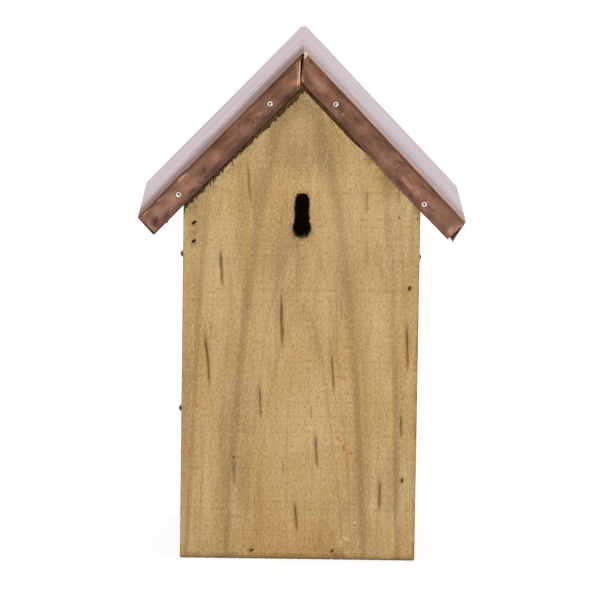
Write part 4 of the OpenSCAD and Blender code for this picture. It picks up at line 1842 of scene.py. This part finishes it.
        on_flange = (share > 0)[:, None] * np.ones_like(run)[None]
        back = (yy < 0).astype(float)
        away = self.bulge(moved, deep, part[None]) * on_flange * back
        away = away + 0.25 * on_flange * (1 - back) * smooth(deep, 2.0, 8.0)
        yy = yy + np.where(yy < 0, -away, away)
        lift = self.waves(run[None], yy, part[None]) * (share == 0)[:, None] * (down == 0)[None]
        flat = flat - inward[None] * lift[..., None]
        out = self.eave_flare(length[None], down[None], yy)
        flat[..., 0] += np.sign(length)[None] * out * math.cos(g.pitch)
        flat[..., 1] -= out * math.sin(g.pitch)

        points = np.stack([flat[..., 0], yy, flat[..., 1]], axis=-1)
        in_flange = (share[:-1] > 0) | (share[1:] > 0)
        in_fold = (abs(y[:-1]) > end - self.fold_r - 1e-6) & (abs(y[1:]) > end - self.fold_r - 1e-6)
        middle = (length[:-1] + length[1:]) / 2
        past_slope = abs(middle) > self.arc + self.slope
        past_fold = abs(middle) > fold_end
        slit = (middle < -0.45) & (middle > -2.8)
        kept = ~(in_flange[:, None] & (past_slope | slit)[None]) & ~(in_fold[:, None] & past_fold[None])
        return points, kept

    def bulge(self, run: np.ndarray, deep: np.ndarray, part: np.ndarray) -> np.ndarray:
        """How far a back flange stands off the boards: a pout by the ridge, a bead and soft dents."""
        pout = 0.75 * smooth(deep, 0.4, 5.0) * smooth(run, 34.0, 8.0) * (part > 0)
        off = run - (2.7 + deep * math.sin(self.lines.pitch)) / math.cos(self.lines.pitch)
        bead = 0.55 * np.exp(-(((off - 0.5) / 0.45) ** 2)) * (part < 0)
        dents = ripple(run, 21, (47.0, 19.0, 11.0), (0.07, 0.05, 0.03)) * smooth(deep, 0.5, 4.0)
        return np.clip(pout + bead + np.clip(dents + 0.08, 0, 0.3), 0, 0.9)

    def waves(self, run: np.ndarray, y: np.ndarray, part: np.ndarray) -> np.ndarray:
        """How far the slopes lift off the boards: long soft waves down the slope, and one kink."""
        inside = smooth(abs(y), 73.4, 60.0) * smooth(run, 2.0, 14.0) * smooth(run, 128.5, 112.0)
        across = y + 3.0 * np.sin(run / 31.0 + part) + 2.0 * np.sin(run / 13.0)
        swell = 0.22 + ripple(across, 31, (29.0, 13.0, 7.1), (0.10, 0.06, 0.03)) * (0.7 + 0.3 * part)
        kink = 0.35 * np.exp(-(((run - 99.0) / 4.5) ** 2)) * smooth(y, -60.0, -70.0) * (part < 0)
        return np.clip(swell, 0, None) * inside + kink * smooth(abs(y), 73.4, 72.0)

    def eave_flare(self, length: np.ndarray, down: np.ndarray, y: np.ndarray) -> np.ndarray:
        """How far the eave flanges stand out near the back: a torn flap on the right."""
        share = down / (self.drop_plain - self.fold_r)
        right = self.flare * smooth(y, -50.0, -72.0) * (length > 0)
        left = 0.7 * smooth(y, -40.0, -72.0) * (length < 0)
        return share * (right + left)

    def build(self, finish: bpy.types.Material) -> bpy.types.Object:
        """The sheet, given its thickness and dressed.

        Args:
            finish: The copper.

        Returns:
            The piece.
        """
        points, kept = self.surface()
        rows, columns = points.shape[:2]
        faces = grid_faces(rows, columns, kept=kept)
        used, corners = np.unique(faces, return_inverse=True)
        chosen = points.reshape(-1, 3)[used]
        faces = corners.reshape(faces.shape)
        sheet = new_piece("copper_cover", chosen, faces.tolist(), sharp=60.0, turned=False)
        sharpen_cuts(sheet.data)
        wall = sheet.modifiers.new("sheet", "SOLIDIFY")
        wall.thickness = self.lines.sheet * MM
        wall.offset = -1.0
        wall.use_even_offset = False
        return dress(sheet, finish, Body.BOX, ["copper_roof"])


@dataclass
class FlangeNails:
    """The round-headed nails that hold the end flanges."""

    lines: GableLines
    head_r: float = 1.6
    head_h: float = 0.85
    shank_r: float = 0.75
    shank: float = 16.0
    upper_left: tuple[float, float] = (33.7, 7.2)
    upper_right: tuple[float, float] = (33.1, 7.4)
    lower_left: tuple[float, float] = (104.6, 6.8)
    lower_right: tuple[float, float] = (106.5, 9.8)

    def dents(self) -> tuple[Oval, ...]:
        """The painted dark reflections in the back's heads, leaning as the photograph shows."""
        places = (self.upper_left, self.lower_left, self.upper_right, self.lower_right)
        shapes = ((-0.2, -0.2, -5.0), (0.3, 0.3, -30.0), (-0.3, 0.0, 14.0), (-0.1, 0.1, -6.0))
        marks = []
        for number, (place, (right, up, lean)) in enumerate(zip(places, shapes)):
            x, z = self.lines.on_slope(*place)
            marks.append(Oval((x if number > 1 else -x) + right, z + up, 0.5, 1.35, lean))
        return tuple(marks)

    def profile(self) -> np.ndarray:
        """Radius and height of a nail: a cap of a ball on a short rim, and a shank with a point."""
        ball = (self.head_r**2 + self.head_h**2) / (2 * self.head_h)
        angle = np.linspace(0.02, math.asin(self.head_r / ball), 14)
        cap = np.stack([ball * np.sin(angle), ball * (np.cos(angle) - 1) + self.head_h], 1)
        rim = np.array([[self.head_r, -0.02], [self.head_r - 0.08, -0.1], [self.shank_r, -0.12]])
        shank = np.array([[self.shank_r, -self.shank + 2.0], [0.03, -self.shank]])
        return np.concatenate([cap, rim, shank])

    def build(self, end: int, node: str, finish: bpy.types.Material) -> bpy.types.Object:
        """The four nails of one end, dressed.

        Args:
            end: -1 for the back, 1 for the front.
            node: The frame's node that they replace.
            finish: The nails' steel.

        Returns:
            The piece.
        """
        g = self.lines
        left = np.array([g.on_slope(*place) for place in (self.upper_left, self.lower_left)])
        right = np.array([g.on_slope(*place) for place in (self.upper_right, self.lower_right)])
        both = np.concatenate([left * np.array([-1.0, 1.0]), right])
        face = end * (abs(g.back) + g.sheet + 0.1)
        centres = np.stack([both[:, 0], np.full(len(both), face), both[:, 1]], axis=1)
        name = node.replace("_nails", "_nail_heads")
        nails = turned_piece(name, self.profile(), centres, Vector((0, end, 0)))
        return dress(nails, finish, Body.BOX, [node])


@dataclass
class SidePins:
    """The three pins at the door's line: two that the door turns on and one that locks it."""

    half_w: float = 65.0
    y: float = 48.5
    stand: float = 2.9
    pin_r: float = 1.2
    head_r: float = 2.0
    head_h: float = 1.4
    pivot_z: float = 152.5
    lock_z: float = 62.4
    pivot_len: float = 30.0
    lock_len: float = 18.2

    def profile(self, length: float) -> np.ndarray:
        """Radius and height of a pin, with its head's flat side at nought."""
        ball = (self.head_r**2 + self.head_h**2) / (2 * self.head_h)
        angle = np.linspace(0.02, math.asin(self.head_r / ball), 12)
        rise = np.maximum(ball * (np.cos(angle) - 1) + self.head_h, 0.06)
        cap = np.stack([ball * np.sin(angle), rise], 1)
        rim = np.array([[self.head_r - 0.1, 0.03], [self.pin_r, 0.03]])
        tip = np.array([[self.pin_r, 0.5 - length], [self.pin_r - 0.35, -length], [0.05, -length]])
        return np.concatenate([cap, rim, tip])

    def build(self, side: Side, z: float, length: float, node: str, body: Body,
              finish: bpy.types.Material) -> bpy.types.Object:
        """One pin, dressed.

        Args:
            side: The wall that it goes through.
            z: Its height.
            length: The length of its shank.
            node: The frame's node that it replaces.
            body: The body that it rides on.
            finish: The pins' steel.

        Returns:
            The piece.
        """
        centre = np.array([[side.value * (self.half_w + self.stand), self.y, z]])
        pin = turned_piece(f"{node}_steel", self.profile(length), centre, Vector((side.value, 0, 0)))
        return dress(pin, finish, body, [node])


@dataclass
class Splinters:
    """Thin torn fibres at the slot's rim and along the back board's upper edges.

    Attributes:
        lines: The lines of the gable.
        seed: Picks where the fibres are.
        counts: Fibres at the slot's lower end, at its upper end and along the edges.
        low_r: How far from the middle of the slot's lower end they start.
        top_r: The same at its upper end.
        left_share: The share of the edges' fibres that is on the left.
    """

    lines: GableLines
    seed: int = 17
    counts: tuple[int, int, int] = (26, 12, 46)
    low_r: float = 5.0
    top_r: float = 4.0
    left_share: float = 0.80

    def blades(
        self, roots: np.ndarray, ways: np.ndarray, widths: np.ndarray
    ) -> tuple[np.ndarray, list[list[int]]]:
        """Closed blades that taper to a point.

        The ring of a blade at share t of its length lies at the root plus t times its way, with a
        three-sided section that shrinks by one less the square of t.

        Args:
            roots: Where the blades start.
            ways: Their lengths and directions.
            widths: Half their widths.

        Returns:
            The points and the faces of all blades.
        """
        t = np.linspace(0.0, 1.0, 4)
        size = np.maximum(1 - t**2, 0.06)
        angle = np.array([np.pi / 2, -np.pi / 6, -5 * np.pi / 6])
        across = np.stack([-ways[:, 2], np.zeros(len(ways)), ways[:, 0]], axis=1)
        across /= np.linalg.norm(across, axis=1, keepdims=True)
        out = np.array([0.0, -1.0, 0.0])
        section = np.cos(angle)[None, :, None] * across[:, None] + 0.7 * np.sin(angle)[None, :, None] * out
        ring = section[:, None] * (widths[:, None] * size[None])[..., None, None]
        points = roots[:, None, None] + ways[:, None, None] * t[None, :, None, None] + ring
        points[..., 1] -= (t**2)[None, :, None] * 0.12
        walls = grid_faces(4, 3, closed=True)
        starts = np.arange(len(roots)) * 12
        quads = (walls[None] + starts[:, None, None]).reshape(-1, 4)
        ends = np.array([[0, 1, 2], [9, 10, 11]])
        caps = (ends[None] + starts[:, None, None]).reshape(-1, 3)
        return points.reshape(-1, 3), [*quads.tolist(), *caps.tolist()]

    def build(self, board: BackBoard, finish: bpy.types.Material) -> bpy.types.Object:
        """All fibres as one piece, dressed.

        Args:
            board: The back board that they are torn from.
            finish: The fibres' wood.

        Returns:
            The piece.
        """
        g = self.lines
        pick = np.random.default_rng(self.seed)
        low_count, top_count, edge_count = self.counts
        at_rim, at_edge = g.back + 0.3, g.back + 0.12

        angle = pick.uniform(-2.9, -0.1, low_count)
        across, up = self.low_r * np.cos(angle), self.low_r * np.sin(angle)
        rim = np.stack([across, np.full(low_count, at_rim), board.slot_low + up], axis=1)
        aside, inwards = pick.normal(0, 0.12, low_count), pick.uniform(0.0, 0.3, low_count)
        rim_way = np.stack([aside, inwards, pick.uniform(0.4, 1.5, low_count)], axis=1)

        angle = pick.uniform(1.9, 3.1, top_count)
        across, up = self.top_r * np.cos(angle), self.top_r * np.sin(angle)
        cap = np.stack([across, np.full(top_count, at_rim), board.slot_top + up], axis=1)
        aside, inwards = pick.uniform(0.0, 0.7, top_count), pick.uniform(0, 0.3, top_count)
        cap_way = np.stack([aside, inwards, -pick.uniform(0.5, 1.6, top_count)], axis=1)

        run = pick.uniform(8.0, 92.0, edge_count)
        flat = g.on_slope(run + g.roof_board * math.tan(g.pitch), g.roof_board)
        side = np.where(pick.uniform(size=edge_count) < self.left_share, -1.0, 1.0)
        edge = np.stack([flat[:, 0] * side, np.full(edge_count, at_edge), flat[:, 1] - 2.4], axis=1)
        aside, inwards = pick.uniform(0.0, 0.3, edge_count), pick.uniform(-0.05, 0.0, edge_count)
        edge_way = np.stack([side * -aside, inwards, pick.uniform(0.3, 0.9, edge_count)], axis=1)
        roots = np.concatenate([rim, cap, edge])
        ways = np.concatenate([rim_way, cap_way, edge_way])
        points, faces = self.blades(roots, ways, pick.uniform(0.12, 0.30, len(roots)))
        fibres = new_piece("torn_fibres", points, faces, sharp=80.0)
        return dress(fibres, finish, Body.BOX)


@dataclass
class Studio:
    """The camera, a pale floor, soft lamps and a white background.

    Attributes:
        pitch: How far the camera looks down, in degrees.
        roll: How far it leans, in degrees.
        yaw: How far it looks aside, in degrees.
        distance: From the camera to its target.
        focal: The focal length in pixels of the photograph's frame.
        target: The point that it looks at, in millimetres.
        ambient: How much light the background gives to dull surfaces.
        room: How bright shiny surfaces see the background behind the camera.
        lamps: For each its name, its place and side in metres, and its power in watts.
    """

    pitch: float = 8.926
    roll: float = 0.822
    yaw: float = 0.137
    distance: float = 2572.0
    focal: float = 4679.2
    target: tuple[float, float, float] = (-0.39, -73.0, 145.51)
    ambient: float = 0.55
    room: float = 0.05
    lamps: tuple[tuple[str, tuple[float, float, float], float, float], ...] = (
        ("key_lamp", (-1.1, -1.9, 1.25), 1.1, 15.0),
        ("fill_lamp", (1.5, -1.7, 0.9), 1.2, 10.0),
        ("top_lamp", (0.1, 0.3, 1.7), 1.2, 7.0),
        ("rear_lamp", (0.5, 2.0, 1.2), 1.3, 8.0),
    )

    def place_camera(self) -> None:
        """Puts the camera where the outline of the box in the photograph asks for it."""
        pitch, roll, yaw = (math.radians(v) for v in (self.pitch, self.roll, self.yaw))
        ahead = Vector((math.sin(yaw) * math.cos(pitch), math.cos(yaw) * math.cos(pitch), -math.sin(pitch)))
        level = Vector((math.cos(yaw), -math.sin(yaw), 0.0))
        upright = level.cross(ahead)
        right = level * math.cos(roll) + upright * math.sin(roll)
        up = upright * math.cos(roll) - level * math.sin(roll)
        eye = (Vector(self.target) - ahead * self.distance) * MM
        camera = bpy.data.cameras.new("camera")
        camera.sensor_width = SENSOR_MM
        camera.sensor_fit = "HORIZONTAL"
        camera.lens = self.focal / FRAME_PIXELS * SENSOR_MM
        camera.clip_start = 0.05
        camera.clip_end = 50.0
        holder = bpy.data.objects.new("camera", camera)
        bpy.context.scene.collection.objects.link(holder)
        turn = Matrix((right, up, -ahead)).transposed().to_4x4()
        holder.matrix_world = Matrix.Translation(eye) @ turn
        bpy.context.scene.camera = holder

    def hang_lamp(self, name: str, place: Sequence[float], size: float, power: float) -> None:
        """Hangs a square soft lamp that faces the box.

        Args:
            name: The lamp's name.
            place: Its place, in metres.
            size: The length of its sides, in metres.
            power: Its power, in watts.
        """
        light = bpy.data.lights.new(name, "AREA")
        light.shape = "SQUARE"
        light.size = size
        light.energy = power
        lamp = bpy.data.objects.new(name, light)
        bpy.context.scene.collection.objects.link(lamp)
        lamp.visible_glossy = False
        lamp.location = Vector(place)
        way = Vector((0, 0, 0.14)) - Vector(place)
        lamp.rotation_euler = way.to_track_quat("-Z", "Y").to_euler()

    def rays(self, recipe: Recipe) -> tuple[Sock, Sock]:
        """Which rays come from the camera, and which off shiny surfaces or through clear ones.

        Args:
            recipe: The nodes to add to.

        Returns:
            One for the first kind of ray, and one for the second.
        """
        direct = recipe.node("ShaderNodeLightPath", output="Is Camera Ray")
        outputs = direct.socket.node.outputs
        through = Sock(recipe, outputs["Is Transmission Ray"])
        return direct, Sock(recipe, outputs["Is Glossy Ray"]).most(through)

    def lay_floor(self) -> None:
        """A pale floor that looks white, keeps the box's shadow and can be looked through from below."""
        wide, near, far, z = 2600.0, -1300.0, 2600.0, -0.2
        points = np.array([[-wide, near, z], [wide, near, z], [wide, far, z], [-wide, far, z]])
        floor = new_piece("floor", points, [[0, 1, 2, 3]], turned=False)
        recipe = Recipe("pale_floor")
        grain = recipe.noise(recipe.place, 30.0, detail=2)
        pale = recipe.mix(recipe.fade(grain, 0.3, 0.7), (0.80, 0.80, 0.80, 1), (0.82, 0.82, 0.82, 1))
        plain = recipe.node("ShaderNodeBsdfDiffuse", inputs={"Color": pale})
        dim = recipe.node("ShaderNodeBsdfDiffuse", inputs={"Color": (0.22, 0.22, 0.22, 1)})
        away = recipe.fade(recipe.length(recipe.place), 0.30, 0.80)
        level = recipe.mix(away, (0.84, 0.84, 0.84, 1), (1, 1, 1, 1))
        glow = recipe.node("ShaderNodeEmission", inputs={"Color": level, "Strength": 1.0})
        white = recipe.node("ShaderNodeAddShader", inputs={0: dim, 1: glow})
        direct, shiny = self.rays(recipe)
        shown = recipe.node("ShaderNodeMixShader", inputs={0: direct.most(shiny), 1: plain, 2: white})
        under = recipe.node("ShaderNodeNewGeometry", output="Backfacing")
        clear = recipe.node("ShaderNodeBsdfTransparent")
        shown = recipe.node("ShaderNodeMixShader", inputs={0: under, 1: shown, 2: clear})
        recipe.node("ShaderNodeOutputMaterial", inputs={"Surface": shown})
        floor.data.materials.append(recipe.material)

    def fill_world(self) -> None:
        """White where it is seen, dimmer behind the camera for metal, and soft grey as light."""
        world = bpy.data.worlds.new("studio")
        bpy.context.scene.world = world
        recipe = Recipe(world)
        way = recipe.node("ShaderNodeTexCoord", output="Generated")
        front = recipe.dot(way, (0.0, -1.0, 0.0))
        dim = recipe.fade(front, 0.60, 0.85, 1.0 - self.room)
        direct, shiny = self.rays(recipe)
        level = direct.most(shiny * (1.0 - dim))
        level = level.most((1.0 - direct.most(shiny)) * self.ambient)
        glow = recipe.node("ShaderNodeBackground", inputs={"Color": (1, 1, 1, 1), "Strength": level})
        recipe.node("ShaderNodeOutputWorld", inputs={"Surface": glow})

    def build(self) -> None:
        """Sets up the whole studio."""
        self.place_camera()
        self.lay_floor()
        self.fill_world()
        for lamp in self.lamps:
            self.hang_lamp(*lamp)
        bpy.context.scene.view_settings.view_transform = "Standard"
        log.info("studio ready")


@dataclass
class NestBox:
    """The whole box: its boards, its copper roof, its nails and its pins."""

    lines: GableLines = field(default_factory=GableLines)

    def build_boards(self) -> None:
        """The back board, its fibres, and the walls, floor, door and roof boards."""
        g = self.lines
        up = (0.0, 0.0, 1.0)
        marked = MarkedPine(
            "marked_pine",
            Lay((0, g.back, 0), (1, 0, 0), up, heart_across=0.0, heart_depth=20.0, taper=0.0915),
        )
        back = BackBoard(g)
        face = marked.material()
        back.build(face)
        dark = TreatedPine(
            "torn_pine", marked.lay, rings=(), golden=tone(92, 68, 40), beige=tone(118, 92, 60),
            shade=tone(58, 42, 24), fibre=tone(74, 54, 30),
        )
        Splinters(g).build(back, dark.material())

        walls = {
            "left_side": (Body.BOX, Lay((-g.half_w, 40, 30), (0, -1, 0), up, 14.0, 34.0, 0.02)),
            "right_side": (Body.BOX, Lay((g.half_w, -30, 0), (0, 1, 0), up, -22.0, 41.0, -0.03)),
            "floor_board": (Body.BOX, Lay((0, 0, 0), (0, 1, 0), (1, 0, 0), 10.0, 30.0, 0.02)),
            "front_door": (Body.DOOR, Lay((8, 56, 0), (-1, 0, 0), up, 6.0, 28.0, 0.05)),
        }
        for node, (body, lay) in walls.items():
            finish = TreatedPine(f"pine_{node}", lay).material()
            shortest = 2.0 if node == "front_door" else 8.0
            board = worn_copy(node, f"{node}_pine", 0.6, shortest)
            dress(board, finish, body, [node])

        roof = RoofBoards(g)
        for side in Side:
            slope = (side.value * math.cos(g.pitch), 0.0, -math.sin(g.pitch))
            lay = Lay((0, 0, g.ridge), slope, (0, 1, 0), heart_across=60.0, heart_depth=36.0, taper=0.03)
            finish = StainedPine(f"stained_pine_{side.name.lower()}", lay).material()
            roof.build(side, finish)

    def build_metal(self) -> None:
        """The copper, the nails, the pins and the brads."""
        g = self.lines
        CopperRoof(g).build(TarnishedCopper().material())
        nails = FlangeNails(g)
        bare, rust = tone(234, 230, 222), tone(150, 140, 132)
        nail = Steel("bright_nail_steel", bare, rust, 0.05, 0.13, nails.dents()).material()
        nails.build(-1, "back_flange_nails", nail)
        nails.build(1, "front_flange_nails", nail)
        pin = Steel("dull_pin_steel", tone(116, 92, 86), tone(74, 44, 34), 0.6, 0.38).material()
        pins = SidePins()
        pins.build(Side.LEFT, pins.pivot_z, pins.pivot_len, "pivot_pin_left", Body.BOX, pin)
        pins.build(Side.RIGHT, pins.pivot_z, pins.pivot_len, "pivot_pin_right", Body.BOX, pin)
        pins.build(Side.LEFT, pins.lock_z, pins.lock_len, "lock_pin", Body.LOCK, pin)
        brad = Steel("dark_brad_steel", tone(70, 60, 52), tone(44, 30, 22), 0.6, 0.5).material()
        for name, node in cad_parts.items():
            if "brads" in name:
                node.data.materials.clear()
                node.data.materials.append(brad)
                log.info("%s: keeps its solid", name)

    def build(self) -> None:
        """Builds every piece."""
        self.build_boards()
        self.build_metal()


def main() -> None:
    """Builds the studio and the box, and logs how many points each new piece has."""
    logging.basicConfig(level=logging.INFO, format="%(name)s: %(message)s")
    Studio().build()
    NestBox().build()


if __name__ == "__main__":
    main()
